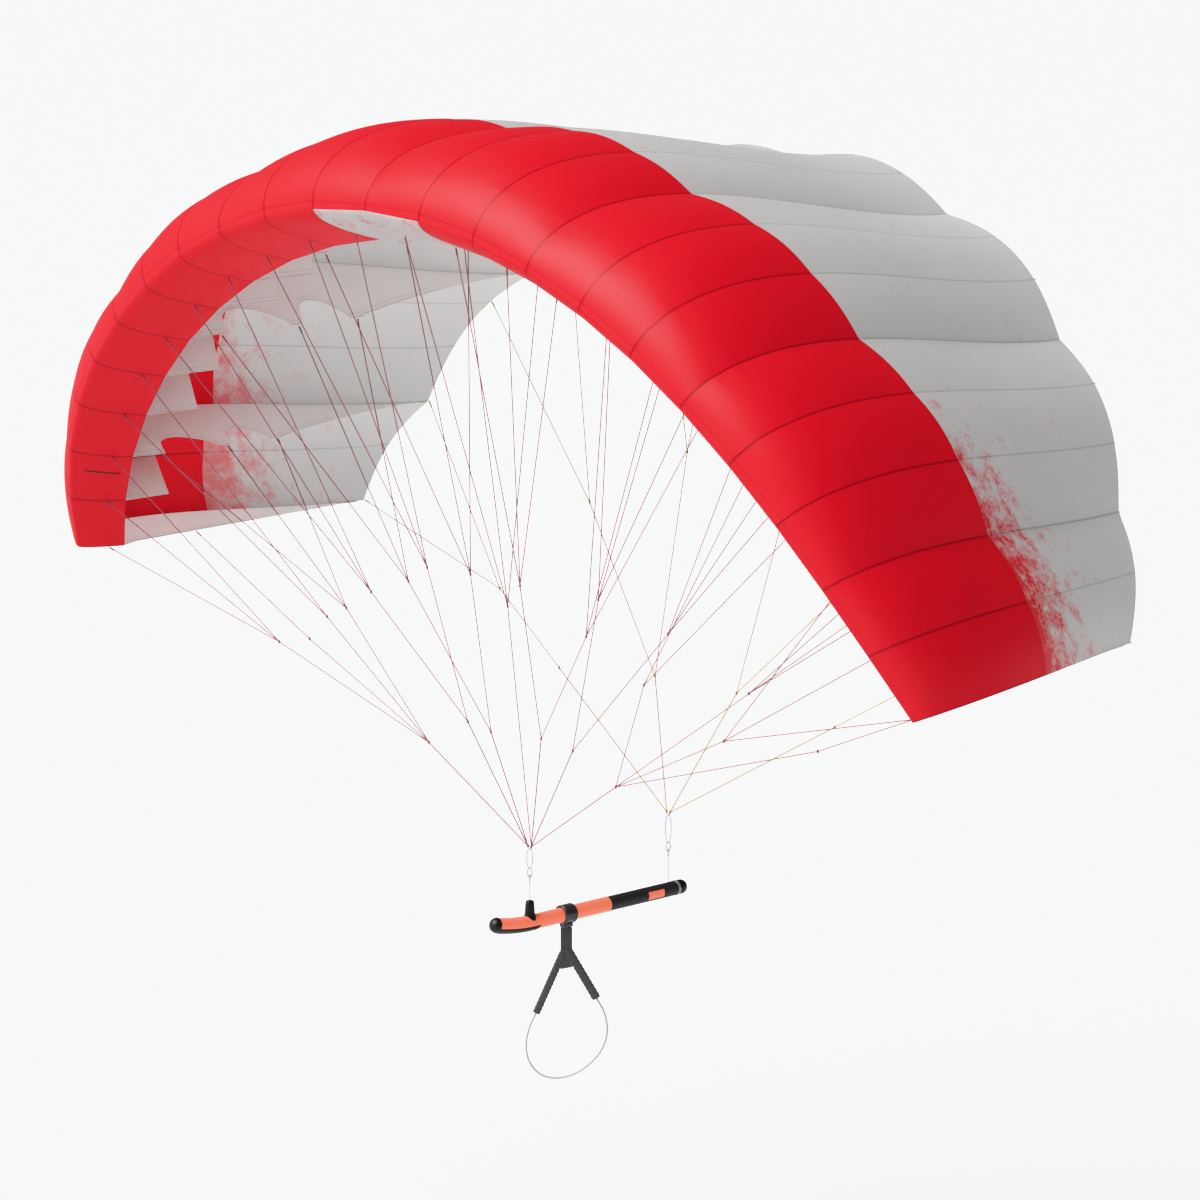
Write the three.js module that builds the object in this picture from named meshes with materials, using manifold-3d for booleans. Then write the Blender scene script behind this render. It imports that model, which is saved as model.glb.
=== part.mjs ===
// A single-skin soft wing for wing foiling, flown on lines from a short fore-and-aft bar.
// Millimetres, +Z up. X runs along the span, -Y is the leading edge, and the origin is on
// the bar's axis in the middle of the sliding harness ring.
import * as THREE from 'three';
import { mergeVertices } from 'three/addons/utils/BufferGeometryUtils.js';
import Module from 'manifold-3d';

const wasm = await Module();
wasm.setup();

// Canopy, laid out by cells: seam 0 is the middle of the span and seam 11 is a tip.
const CELLS = 11;
const CREASES = [0, 3, 6, 9, 11];
const HALF_SPAN = 1450;
const ARC = THREE.MathUtils.degToRad(68.8);
const CELL_TAPER = 0.15;
const CENTRE_CHORD = 1094;
const TIP_CHORD = 668;
const CHORD_POWER = 3;
const NOSE = { y: -489, z: 1358 };
const SWEEP = { square: 51, fourth: 157 };
const TWIST = { centre: 0.98, tip: -7.8 };
const TOE_IN = -5.2;

// Section, as shares of the chord.
const CAMBER = 0.106;
const CREST = 0.238;
const TAIL_POWER = 1.6;
const BELLY = { drop: 0.197, power: 1.158 };
const BELLY_TAPER = 0.45;
const BAND_END = 0.135;
const COLOUR_LINE = { centre: 0.323, tip: 0.173 };
const FRONT_STEPS = 7;
const BACK_STEPS = 5;
const BAND_STEPS = 4;
const PUFF = 32;
const PUFF_POWER = 0.6;
const CELL_PUFF = 4;
const LIFT = CAMBER / Math.sqrt(CREST) / (1 - CREST) ** TAIL_POWER;

// Cloth and its clearances.
const CLOTH = 1.5;
const RIB_CLOTH = 1.2;
const GAP = 0.4;
const RIB_INSET = 2.8;

// Ribs: the load-bearing ones run to the trailing edge and carry four rows of lines.
const SHORT_RIB = { top: 0.33, foot: 0.265 };
const ROWS = { a: 0.085, b: 0.21, c: 0.39, d: 0.53 };
const LOBE = 0.055;
const ARCH = 0.062;
const TAB = 0.03;
const RIB_END = 0.972;

// Lines.
const LINE = 0.8;
const LINE_SIDES = 5;
const LINE_END = { radius: 1.5, length: 16 };
const KNOT = 3.2;
const FRONT_NODE = new THREE.Vector3(0, -101, 146);
const REAR_NODE = new THREE.Vector3(0, 259, 152);
const NODE_SPREAD = 4.4;

// Bar and harness fittings.
const GRIP = 14;
const BAR = { front: -197.5, cap: -184, shoe: -84, change: 98, ring: 275, ringEnd: 281, tail: 304 };
const SHOE = 15.6;
const SEAM = 0.2;
const FIT = 0.35;
const BEND = { start: -100, length: 97.5, rise: 13 };
const SHOE_HALF_ANGLE = 1.25;
const RING_AT = -8;
const RING = { half: 15, radius: 19, rim: 17.2 };
const LOOP_TURN = THREE.MathUtils.degToRad(46.5);
const LEADER = 1.5;
const STRAP_TOP = -26;
const NECK = { half: 11, thickness: 4 };
const YOKE = { half: 11.5, top: -68, left: -107, right: -103, thickness: 7 };
const LEG = { thickness: 9, cut: 2.5 };
const HARNESS_LINE = 2;

const wing = new THREE.Group();
wing.name = 'wing';

const material = (colour, roughness, metalness = 0) =>
  new THREE.MeshStandardMaterial({ color: colour, roughness, metalness, side: THREE.DoubleSide });
const redCloth = () => material(0xd8323f, 0.62);
const whiteCloth = () => material(0xc4c2c0, 0.66);
const black = () => material(0x2b2b2b, 0.7);

function add(name, geometry, finish) {
  const mesh = new THREE.Mesh(geometry, finish);
  mesh.name = name;
  wing.add(mesh);
}

// The frame of the section at seam coordinate u: its nose point, the chord's direction,
// the outward normal of the arc and the direction along the span.
function station(u) {
  const share = Math.abs(u) / CELLS;
  const s = (share - (CELL_TAPER * share * share) / 2) / (1 - CELL_TAPER / 2);
  const side = u < 0 ? -1 : 1;
  const turn = ARC * s;
  const radius = HALF_SPAN / ARC;
  const chord = TIP_CHORD + (CENTRE_CHORD - TIP_CHORD) * (1 - s ** CHORD_POWER);
  const twist = THREE.MathUtils.degToRad(TWIST.centre + TWIST.tip * s * s);
  const out = new THREE.Vector3(side * Math.sin(turn), 0, Math.cos(turn));
  const span = new THREE.Vector3(side * Math.cos(turn), 0, -Math.sin(turn));
  const along = new THREE.Vector3(0, Math.cos(twist), 0)
    .addScaledVector(out, Math.sin(twist))
    .addScaledVector(span, Math.tan(THREE.MathUtils.degToRad(TOE_IN * s)));
  const nose = new THREE.Vector3(
    side * radius * Math.sin(turn),
    NOSE.y + SWEEP.square * s ** 2 + SWEEP.fourth * s ** 4,
    NOSE.z - radius * (1 - Math.cos(turn)),
  );
  return { s, chord, out, span, along, nose };
}

// Height of the section over the chord line. q squared is the place along the chord. A negative
// q is the lower side of the nose, which falls a little slower than the upper side rises, so
// the two sides meet at the nose tape.
function height(q, s) {
  if (q >= 0) return LIFT * q * Math.max(1 - q * q, 0) ** TAIL_POWER;
  return -BELLY.drop * (-q) ** BELLY.power * (1 - BELLY_TAPER * s ** 6);
}

// How far the cloth stands out between the creases, and a little between single seams.
function puff(u, q) {
  if (q <= 0) return 0;
  const place = Math.abs(u);
  const last = CREASES.findIndex((crease) => crease >= place && crease > 0);
  const from = CREASES[last - 1];
  const width = CREASES[last] - from;
  const swell = Math.sin((Math.PI * (place - from)) / width) * (width / 3) * PUFF * q ** PUFF_POWER;
  return swell + CELL_PUFF * Math.abs(Math.sin(Math.PI * place)) * Math.sin(Math.PI * q);
}

function skinPoint(u, q) {
  const { s, chord, out, along, nose } = station(u);
  return nose
    .clone()
    .addScaledVector(along, chord * q * q)
    .addScaledVector(out, chord * height(q, s) + puff(u, q));
}

// Outward normal of the skin, from differences that stay inside the panel.
function skinNormal(u, q, range) {
  const step = 0.02;
  const [u0, u1] = [Math.max(u - step, range.u0), Math.min(u + step, range.u1)];
  const [q0, q1] = [Math.max(q - step, range.q0), Math.min(q + step, range.q1)];
  const spanwise = skinPoint(u1, q).sub(skinPoint(u0, q));
  const chordwise = skinPoint(u, q1).sub(skinPoint(u, q0));
  return spanwise.cross(chordwise).normalize();
}

// A closed sheet between two grids of points, front and back, of the same rows and columns.
function closedSheet(front, back) {
  const rows = front.length;
  const columns = front[0].length;
  const points = [...front.flat(), ...back.flat()];
  const faces = [];
  const at = (layer, i, j) => layer * rows * columns + i * columns + j;
  const quad = (a, b, c, d) => faces.push(a, b, c, a, c, d);
  for (let i = 0; i < rows - 1; i += 1) {
    for (let j = 0; j < columns - 1; j += 1) {
      quad(at(0, i, j), at(0, i + 1, j), at(0, i + 1, j + 1), at(0, i, j + 1));
      quad(at(1, i, j), at(1, i, j + 1), at(1, i + 1, j + 1), at(1, i + 1, j));
    }
  }
  for (let i = 0; i < rows - 1; i += 1) {
    quad(at(0, i + 1, 0), at(0, i, 0), at(1, i, 0), at(1, i + 1, 0));
    quad(at(0, i, columns - 1), at(0, i + 1, columns - 1), at(1, i + 1, columns - 1), at(1, i, columns - 1));
  }
  for (let j = 0; j < columns - 1; j += 1) {
    quad(at(0, 0, j), at(0, 0, j + 1), at(1, 0, j + 1), at(1, 0, j));
    quad(at(0, rows - 1, j + 1), at(0, rows - 1, j), at(1, rows - 1, j), at(1, rows - 1, j + 1));
  }
  const geometry = new THREE.BufferGeometry();
  const flat = points.flatMap((point) => point.toArray());
  geometry.setAttribute('position', new THREE.Float32BufferAttribute(flat, 3));
  geometry.setIndex(faces);
  geometry.computeVertexNormals();
  return geometry;
}

// A skin panel from seam u0 to seam u1, between two lines q given as functions of u.
function panel(u0, u1, from, to, steps) {
  const trim = GAP / 2 / (HALF_SPAN / CELLS);
  const left = u0 + trim;
  const right = u1 - trim;
  const front = [];
  const back = [];
  for (let i = 0; i <= steps.u; i += 1) {
    const u = left + ((right - left) * i) / steps.u;
    const range = { u0: left, u1: right, q0: from(u), q1: to(u) };
    // At the nose tape two panels share one normal, so that their edges are mitred.
    const overNose = { ...range, q0: -1, q1: 1 };
    const outer = [];
    const inner = [];
    for (let j = 0; j <= steps.q; j += 1) {
      const q = range.q0 + ((range.q1 - range.q0) * j) / steps.q;
      const point = skinPoint(u, q);
      outer.push(point);
      const normal = skinNormal(u, q, Math.abs(q) < 0.01 ? overNose : range);
      inner.push(point.clone().addScaledVector(normal, -CLOTH));
    }
    front.push(outer);
    back.push(inner);
  }
  return closedSheet(front, back);
}

// The line between the coloured front and the white back of the upper skin, and the small
// step in q that leaves the seam gap on either side of it.
const colourLine = (u) => Math.sqrt(COLOUR_LINE.centre + COLOUR_LINE.tip * station(u).s ** 2);
const seamStep = (u) => GAP / 2 / (2 * colourLine(u) * station(u).chord);
const noseStep = (u) => GAP / 2 / (LIFT * station(u).chord);

const BULGES = [
  { name: 'left_tip', from: -11, to: -9 },
  { name: 'left_outer', from: -9, to: -6 },
  { name: 'left_mid', from: -6, to: -3 },
  { name: 'left_inner', from: -3, to: 0 },
  { name: 'right_inner', from: 0, to: 3 },
  { name: 'right_mid', from: 3, to: 6 },
  { name: 'right_outer', from: 6, to: 9 },
  { name: 'right_tip', from: 9, to: 11 },
];

for (const { name, from, to } of BULGES) {
  const across = 3 * (to - from);
  const toColourLine = (u) => colourLine(u) - seamStep(u);
  const fromColourLine = (u) => colourLine(u) + seamStep(u);
  const front = panel(from, to, noseStep, toColourLine, { u: across, q: FRONT_STEPS });
  const back = panel(from, to, fromColourLine, () => 1, { u: across, q: BACK_STEPS });
  add(`skin_front_${name}`, front, redCloth());
  add(`skin_back_${name}`, back, whiteCloth());
}

// The lower side of the nose, in three pieces, with the pale one in the middle.
const bandEnd = () => -Math.sqrt(BAND_END);
const bandNose = (u) => -noseStep(u);
add('nose_band_left', panel(-CELLS, -1, bandEnd, bandNose, { u: 20, q: BAND_STEPS }), redCloth());
add('nose_band_centre', panel(-1, 1, bandEnd, bandNose, { u: 4, q: BAND_STEPS }), whiteCloth());
add('nose_band_right', panel(1, CELLS, bandEnd, bandNose, { u: 20, q: BAND_STEPS }), redCloth());

// A point in the plane of the section at u, at share v of the chord and height w over it.
function ribPoint(u, v, w) {
  const { chord, out, along, nose } = station(u);
  return nose.clone().addScaledVector(along, chord * v).addScaledVector(out, w);
}

// The skin's curve in that plane, drawn in by the seam allowance.
function ribEdge(u, q) {
  const { s, chord } = station(u);
  const step = 0.004;
  const rise = chord * (height(q + step, s) - height(q - step, s)) + puff(u, q + step) - puff(u, q - step);
  const run = chord * ((q + step) ** 2 - (q - step) ** 2);
  const length = Math.hypot(rise, run);
  const v = q * q + (RIB_INSET * rise) / length / chord;
  const w = chord * height(q, s) + puff(u, q) - (RIB_INSET * run) / length;
  return { v, w };
}

// The same curve over the whole upper skin, straight between the skin's own steps, and its
// height at share v of the chord.
function ribTops(u) {
  const line = colourLine(u);
  const marks = [];
  for (let k = 1; k <= FRONT_STEPS; k += 1) marks.push((line * k) / FRONT_STEPS);
  for (let k = 1; k <= BACK_STEPS; k += 1) marks.push(line + ((1 - line) * k) / BACK_STEPS);
  return marks.map((q) => ribEdge(u, q));
}

function topAt(tops, v) {
  const next = Math.max(1, tops.findIndex((point) => point.v >= v));
  const [a, b] = [tops[next - 1], tops[next]];
  return { v, w: a.w + ((b.w - a.w) * (v - a.v)) / (b.v - a.v) };
}

// Lower edge of a load-bearing rib behind the nose band: a tab at each line, and between
// two tabs a cut-out that is steep in front and slopes down behind. It rises to the
// trailing edge behind the last tab. A tip rib has a plain edge.
function scallop(u, v) {
  const { chord } = station(u);
  if (Math.abs(u) > CELLS - 1) return -0.5 * LOBE * chord * (1 - v);
  const tabs = Object.values(ROWS);
  const next = tabs.findIndex((row) => row + TAB / 2 >= v);
  if (next === -1) return -LOBE * chord * ((1 - v) / (1 - ROWS.d)) ** 2;
  if (next < 2 || v > tabs[next] - TAB / 2) return -LOBE * chord;
  const from = tabs[next - 1] + TAB / 2;
  const share = (v - from) / (tabs[next] - TAB / 2 - from);
  return chord * (ARCH * share ** 0.3 * (1 - share) ** 0.8 * 1.55 - LOBE);
}

// A rib as a strip of columns, each from the skin's curve down to the lower edge.
function rib(u, columns) {
  const { span } = station(u);
  const front = [[], []];
  const back = [[], []];
  for (const [top, foot] of columns) {
    const ends = [ribPoint(u, foot.v, foot.w), ribPoint(u, top.v, top.w)];
    ends.forEach((point, row) => {
      const outward = u < 0 ? -1 : 1;
      front[row].push(point.clone().addScaledVector(span, (-outward * RIB_CLOTH) / 2));
      back[row].push(point.clone().addScaledVector(span, (outward * RIB_CLOTH) / 2));
    });
  }
  return closedSheet(front, back);
}

// Columns over the nose band, where both edges follow the cloth.
function noseColumns(u, tops) {
  return Array.from({ length: BAND_STEPS }, (_, k) => {
    const foot = ribEdge(u, (-Math.sqrt(BAND_END) * (k + 1)) / BAND_STEPS);
    return [tops[k], foot];
  });
}

function shortRib(u) {
  const tops = ribTops(u);
  const columns = noseColumns(u, tops);
  const [upper, lower] = columns.at(-1);
  const count = 5;
  for (let k = 1; k <= count; k += 1) {
    const top = topAt(tops, upper.v + ((SHORT_RIB.top - upper.v) * k) / count);
    columns.push([top, { v: lower.v + ((SHORT_RIB.foot - lower.v) * k) / count, w: lower.w }]);
  }
  return rib(u, columns);
}

// Places along a load-bearing rib: both ends of every tab and the points between them.
function ribMarks() {
  const marks = [0.16, ROWS.b - TAB / 2];
  const tabs = Object.values(ROWS);
  for (let k = 1; k < tabs.length - 1; k += 1) {
    const from = tabs[k] + TAB / 2;
    const to = tabs[k + 1] - TAB / 2;
    for (const share of [0, 0.06, 0.2, 0.4, 0.6, 0.8, 1]) marks.push(from + (to - from) * share);
  }
  for (let k = 0; k <= 6; k += 1) marks.push(ROWS.d + TAB / 2 + ((RIB_END - ROWS.d - TAB / 2) * k) / 6);
  return marks;
}

function longRib(u) {
  const tops = ribTops(u);
  const columns = noseColumns(u, tops);
  const start = columns.at(-1)[1];
  for (const v of ribMarks()) {
    const top = topAt(tops, v);
    const ease = Math.min(1, (v - start.v) / 0.05);
    const w = scallop(u, v) * ease + start.w * (1 - ease);
    columns.push([top, { v, w: Math.min(w, top.w - 3) }]);
  }
  return rib(u, columns);
}

for (let seam = -CELLS; seam <= CELLS; seam += 1) {
  const side = seam < 0 ? 'left' : 'right';
  const place = String(Math.abs(seam)).padStart(2, '0');
  const name = seam === 0 ? 'rib_00' : `rib_${side}_${place}`;
  const u = Math.abs(seam) === CELLS ? seam * (1 - 0.0006) : seam;
  const bearing = CREASES.includes(Math.abs(seam));
  add(name, bearing ? longRib(u) : shortRib(u), whiteCloth());
}

// Solids for joining.
function solid(geometry) {
  const bare = geometry.clone();
  bare.deleteAttribute('normal');
  bare.deleteAttribute('uv');
  const merged = mergeVertices(bare, 1e-4);
  return new wasm.Manifold(new wasm.Mesh({
    numProp: 3,
    vertProperties: new Float32Array(merged.attributes.position.array),
    triVerts: new Uint32Array(merged.index.array),
  }));
}

function shape(manifold) {
  const { vertProperties, triVerts } = manifold.getMesh();
  const geometry = new THREE.BufferGeometry();
  geometry.setAttribute('position', new THREE.BufferAttribute(new Float32Array(vertProperties), 3));
  geometry.setIndex(new THREE.BufferAttribute(new Uint32Array(triVerts), 1));
  geometry.computeVertexNormals();
  return geometry;
}

const join = (geometries) => shape(geometries.map(solid).reduce((all, one) => all.add(one)));

function rod(from, to, radius, sides = LINE_SIDES) {
  const axis = to.clone().sub(from);
  const geometry = new THREE.CylinderGeometry(radius, radius, axis.length(), sides);
  const turn = new THREE.Quaternion().setFromUnitVectors(new THREE.Vector3(0, 1, 0), axis.normalize());
  geometry.applyQuaternion(turn);
  const middle = from.clone().add(to).multiplyScalar(0.5);
  return geometry.translate(middle.x, middle.y, middle.z);
}

const bead = (at, radius) => new THREE.OctahedronGeometry(radius).translate(at.x, at.y, at.z);

// A line from the canopy, with its sewn end loop as a short thicker stretch.
function canopyLine(from, to) {
  const length = from.distanceTo(to);
  const profile = [[0, 0], [LINE_END.radius, 0], [LINE_END.radius, LINE_END.length]];
  profile.push([LINE, LINE_END.length + 2], [LINE, length], [0, length]);
  const points = profile.map(([x, y]) => new THREE.Vector2(x, y));
  const geometry = new THREE.LatheGeometry(points, LINE_SIDES);
  const turn = new THREE.Quaternion();
  turn.setFromUnitVectors(new THREE.Vector3(0, 1, 0), to.clone().sub(from).normalize());
  return geometry.applyQuaternion(turn).translate(from.x, from.y, from.z);
}

// Where a line of the given row leaves rib u, just clear of the cloth.
function tab(u, row) {
  const { s, chord } = station(u);
  const clear = 3.2;
  if (row === 'a') {
    const q = -Math.sqrt(ROWS.a);
    return ribPoint(u, ROWS.a, chord * height(q, s) - clear);
  }
  return ribPoint(u, ROWS[row], scallop(u, ROWS[row]) - clear);
}

const trailing = (u) => ribPoint(u, 1, puff(u, 1)).addScaledVector(station(u).along, 3.5);

const centroid = (points) =>
  points.reduce((sum, point) => sum.add(point), new THREE.Vector3()).divideScalar(points.length);

// Groups of lines: each gathers its tabs at a knot, a share of the way to the node.
const FRONT_GROUPS = [
  { tabs: [['a', 1], ['a', 2], ['a', 3]], knot: 0.53, trunk: 0 },
  { tabs: [['a', 4], ['a', 5], ['a', 6]], knot: 0.53, trunk: 0 },
  { tabs: [['a', 7], ['a', 8]], knot: 0.5, trunk: 1 },
  { tabs: [['a', 9], ['a', 10], ['a', 11]], knot: 0.42, trunk: 1 },
  { tabs: [['b', 3], ['c', 3], ['d', 3]], knot: 0.55, trunk: 2 },
  { tabs: [['b', 6], ['c', 6], ['d', 6]], knot: 0.5, trunk: 2 },
  { tabs: [['b', 9], ['c', 9], ['d', 9]], knot: 0.42, trunk: 1 },
  { tabs: [['c', 11]], knot: 0.36, trunk: 1 },
];
const FRONT_TRUNKS = [0.78, 0.74, 0.8];
const BRAKE_GROUPS = [
  { tabs: [1, 3], knot: 0.45, trunk: 0 },
  { tabs: [5, 7], knot: 0.45, trunk: 0 },
  { tabs: [9, 11], knot: 0.4, trunk: 1 },
];
const BRAKE_TRUNKS = [0.78, 0.62];

// One side's tree of lines, from its tabs through the knots to the node.
function tree(groups, trunks, starts, node) {
  const parts = [bead(node, KNOT)];
  trunks.forEach((share, trunk) => {
    const members = groups.filter((group) => group.trunk === trunk);
    const tops = members.flatMap((group) => group.tabs.map(starts));
    const low = centroid(tops).lerp(node, share);
    parts.push(bead(low, KNOT), rod(low, node, LINE));
    for (const group of members) {
      const points = group.tabs.map(starts);
      const knot = centroid(points).lerp(node, group.knot);
      parts.push(bead(knot, KNOT), rod(knot, low, LINE));
      points.forEach((point) => parts.push(canopyLine(point, knot)));
    }
  });
  return parts;
}

for (const [name, side] of [['left', -1], ['right', 1]]) {
  const front = FRONT_NODE.clone().setX(side * NODE_SPREAD);
  const rear = REAR_NODE.clone().setX(side * NODE_SPREAD);
  const lines = tree(FRONT_GROUPS, FRONT_TRUNKS, ([row, seam]) => tab(side * seam, row), front);
  if (side > 0) {
    const middle = ['a', 'b', 'c'].map((row) => tab(0, row));
    const knot = centroid(middle).lerp(front, 0.6);
    lines.push(bead(knot, KNOT), rod(knot, front, LINE));
    middle.forEach((point) => lines.push(canopyLine(point, knot)));
  }
  add(`bridle_${name}`, join(lines), material(0x6a3a38, 0.7));
  const brakes = tree(BRAKE_GROUPS, BRAKE_TRUNKS, (seam) => trailing(side * seam), rear);
  add(`brake_lines_${name}`, join(brakes), material(0xb9a05a, 0.7));
}

// Leaders: a line with an oval end loop round the two nodes of its set of lines.
function loop(centre, radius, thickness, stretch) {
  const ring = new THREE.TorusGeometry(radius, thickness, 5, 16);
  ring.scale(1, stretch, 1).rotateX(Math.PI / 2).rotateZ(LOOP_TURN);
  return ring.translate(centre.x, centre.y, centre.z);
}

const frontFoot = new THREE.Vector3(0, FRONT_NODE.y, 42.9);
const rearFoot = new THREE.Vector3(0, REAR_NODE.y, GRIP + 0.4);
for (const [name, node, foot, drop] of [
  ['leader_front', FRONT_NODE, frontFoot, 20],
  ['leader_rear', REAR_NODE, rearFoot, 29],
]) {
  const upper = node.clone().setZ(node.z - KNOT - drop);
  const parts = [
    loop(upper, 5.5, LEADER, (drop - 1) / 5.5),
    loop(upper.clone().setZ(upper.z - drop - 7), 4.2, LEADER, 2.2),
    rod(upper.clone().setZ(upper.z - drop - 14), foot, LEADER, 8),
  ];
  add(name, join(parts), material(0xb4b8bd, 0.45));
}

// The bar's axis, straight behind and curving up a little at the front.
function barPoint(y) {
  const reach = Math.max(0, BEND.start - y) / BEND.length;
  return new THREE.Vector3(0, y, BEND.rise * reach * reach);
}

const places = (from, to, count) =>
  Array.from({ length: count + 1 }, (_, k) => from + ((to - from) * k) / count);

// Corners round the bar's axis at y, given by their angles and radii.
function barSection(y, corners) {
  const slope = barPoint(y + 1).sub(barPoint(y - 1)).normalize();
  const up = new THREE.Vector3(1, 0, 0).cross(slope);
  return corners.map(([angle, radius]) =>
    barPoint(y).addScaledVector(up, radius * Math.sin(angle)).setX(radius * Math.cos(angle)));
}

// Sections joined in a row. The ends list the triangles that close the first one.
function loft(sections, ends) {
  const points = sections.flat();
  const sides = sections[0].length;
  const last = (sections.length - 1) * sides;
  const faces = [];
  sections.slice(1).forEach((_, ring) => {
    for (let k = 0; k < sides; k += 1) {
      const a = ring * sides + k;
      const b = ring * sides + ((k + 1) % sides);
      faces.push(a, b + sides, b, a, a + sides, b + sides);
    }
  });
  ends.forEach(([a, b, c]) => faces.push(a, b, c, last + a, last + c, last + b));
  const geometry = new THREE.BufferGeometry();
  geometry.setAttribute('position', new THREE.Float32BufferAttribute(points.flatMap((p) => p.toArray()), 3));
  geometry.setIndex(faces);
  geometry.computeVertexNormals();
  return geometry;
}

// A round body along the bar's axis, through rings at y with the given radii.
function turned(rings, sides = 24) {
  const angles = Array.from({ length: sides }, (_, k) => (2 * Math.PI * k) / sides);
  const sections = rings.map(([y, radius]) => barSection(y, angles.map((angle) => [angle, radius])));
  return loft(sections, places(1, sides - 2, sides - 3).map((k) => [0, k, k + 1]));
}

// A shell that hugs the bar from below, between two radii.
function underShell(from, to, inner, outer) {
  const steps = 8;
  const arc = places(-Math.PI / 2 - SHOE_HALF_ANGLE, -Math.PI / 2 + SHOE_HALF_ANGLE, steps);
  const corners = arc.map((angle) => [angle, outer]);
  corners.push(...[...arc].reverse().map((angle) => [angle, inner]));
  const ends = [];
  for (let k = 0; k < steps; k += 1) {
    const back = corners.length - 1 - k;
    ends.push([k, k + 1, back - 1], [k, back - 1, back]);
  }
  return loft(places(from, to, 8).map((y) => barSection(y, corners)), ends);
}

const frontCap = [[BAR.front, 4], [BAR.front + 2, 9], [BAR.front + 5, 12.5], [BAR.front + 10, 14.6]];
frontCap.push([BAR.cap - SEAM, SHOE - 0.6]);
const shoe = underShell(BAR.cap - 6, BAR.shoe, GRIP + FIT, SHOE);
add('bar_nose', shape(solid(turned(frontCap)).add(solid(shoe))), black());
const gripRings = [...places(BAR.cap + SEAM, BEND.start, 6), BAR.change - SEAM].map((y) => [y, GRIP]);
add('grip_front', turned(gripRings), material(0xf27a5c, 0.72));
add('grip_rear', turned([[BAR.change + SEAM, GRIP], [BAR.ring - SEAM, GRIP]]), black());
const greyRing = [[BAR.ring + SEAM, 14.6], [BAR.ringEnd - SEAM, 14.6]];
add('bar_ring', turned(greyRing), material(0x8c8f92, 0.4, 0.6));
const tail = [[BAR.ringEnd + SEAM, 14.2], [BAR.tail - 9, 13.6], [BAR.tail - 4, 11], [BAR.tail - 1, 7]];
tail.push([BAR.tail, 3]);
add('bar_tail', turned(tail), black());

// The knob that holds the front leader, standing in a saddle on the grip.
const knobProfile = [[0, 0], [13, 0], [12.6, 5], [10.6, 10], [9.4, 16], [8.6, 30], [8, 36]];
knobProfile.push([6.2, 38.5], [0, 38.5]);
const knob = new THREE.LatheGeometry(knobProfile.map(([x, y]) => new THREE.Vector2(x, y)), 20);
knob.rotateX(Math.PI / 2);
const knobAt = barPoint(FRONT_NODE.y);
knob.translate(0, knobAt.y, knobAt.z + 4);
const gripClear = turned(places(-140, -60, 6).map((y) => [y, GRIP + FIT]));
add('leader_knob', shape(solid(knob).subtract(solid(gripClear))), black());

// Sliding ring with its eye, then the strap, the yoke, the two legs and the harness line.
const ringEdge = [[RING.half, RING.rim], [RING.half - 3, RING.radius]];
const ring = turned([
  ...ringEdge.map(([y, radius]) => [RING_AT - y, radius]),
  ...[...ringEdge].reverse().map(([y, radius]) => [RING_AT + y, radius]),
]);
const ringBore = turned([[RING_AT - 20, GRIP + FIT], [RING_AT + 20, GRIP + FIT]]);
const eye = new THREE.BoxGeometry(16, 22, 9).translate(0, RING_AT, -21);
add('slider_ring', shape(solid(ring).add(solid(eye)).subtract(solid(ringBore))), black());

const across = new THREE.Vector3(Math.cos(LOOP_TURN), Math.sin(LOOP_TURN), 0);
const inLoop = (x, z) => across.clone().multiplyScalar(x).add(new THREE.Vector3(0, RING_AT, z));
const slab = (outline, thickness) => {
  const flat = new THREE.Shape(outline.map(([x, z]) => new THREE.Vector2(x, z)));
  const geometry = new THREE.ExtrudeGeometry(flat, { depth: thickness, bevelEnabled: false });
  geometry.translate(0, 0, -thickness / 2).rotateX(Math.PI / 2).rotateZ(LOOP_TURN);
  return geometry.translate(0, RING_AT, 0);
};

const neckFoot = YOKE.top + FIT;
const { half } = NECK;
const neck = [[-half, STRAP_TOP], [-half, neckFoot], [half, neckFoot], [half, STRAP_TOP]];
add('strap_neck', slab(neck, NECK.thickness), black());
const yokeOutline = (grow) => [
  [-YOKE.half - grow, YOKE.top + grow],
  [-YOKE.half - grow, YOKE.left - grow],
  [YOKE.half + grow, YOKE.right - grow],
  [YOKE.half + grow, YOKE.top + grow],
];
add('strap_yoke', slab(yokeOutline(0), YOKE.thickness), black());

// A leg: a strip with cut corners from its top to its foot, which ends at the sides of the yoke.
function leg(top, foot, width) {
  const length = Math.hypot(foot[0] - top[0], foot[1] - top[1]);
  const [dx, dz] = [(foot[0] - top[0]) / length, (foot[1] - top[1]) / length];
  const half = width / 2;
  const { cut } = LEG;
  const corners = [[0, cut - half], [cut, -half], [length - cut, -half], [length, cut - half]];
  corners.push([length, half - cut], [length - cut, half], [cut, half], [0, half - cut]);
  const outline = corners.map(([run, aside]) => [
    top[0] + dx * run - dz * aside,
    top[1] + dz * run + dx * aside,
  ]);
  const yoke = slab(yokeOutline(FIT), LEG.thickness + 4);
  return shape(solid(slab(outline, LEG.thickness)).subtract(solid(yoke)));
}

const LEGS = [
  { name: 'strap_leg_left', top: [-6.6, -75.9], foot: [-57, -192.7], width: 14.8 },
  { name: 'strap_leg_right', top: [4.1, -71.8], foot: [56.8, -164], width: 17 },
];
for (const { name, top, foot, width } of LEGS) add(name, leg(top, foot, width), black());

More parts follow.
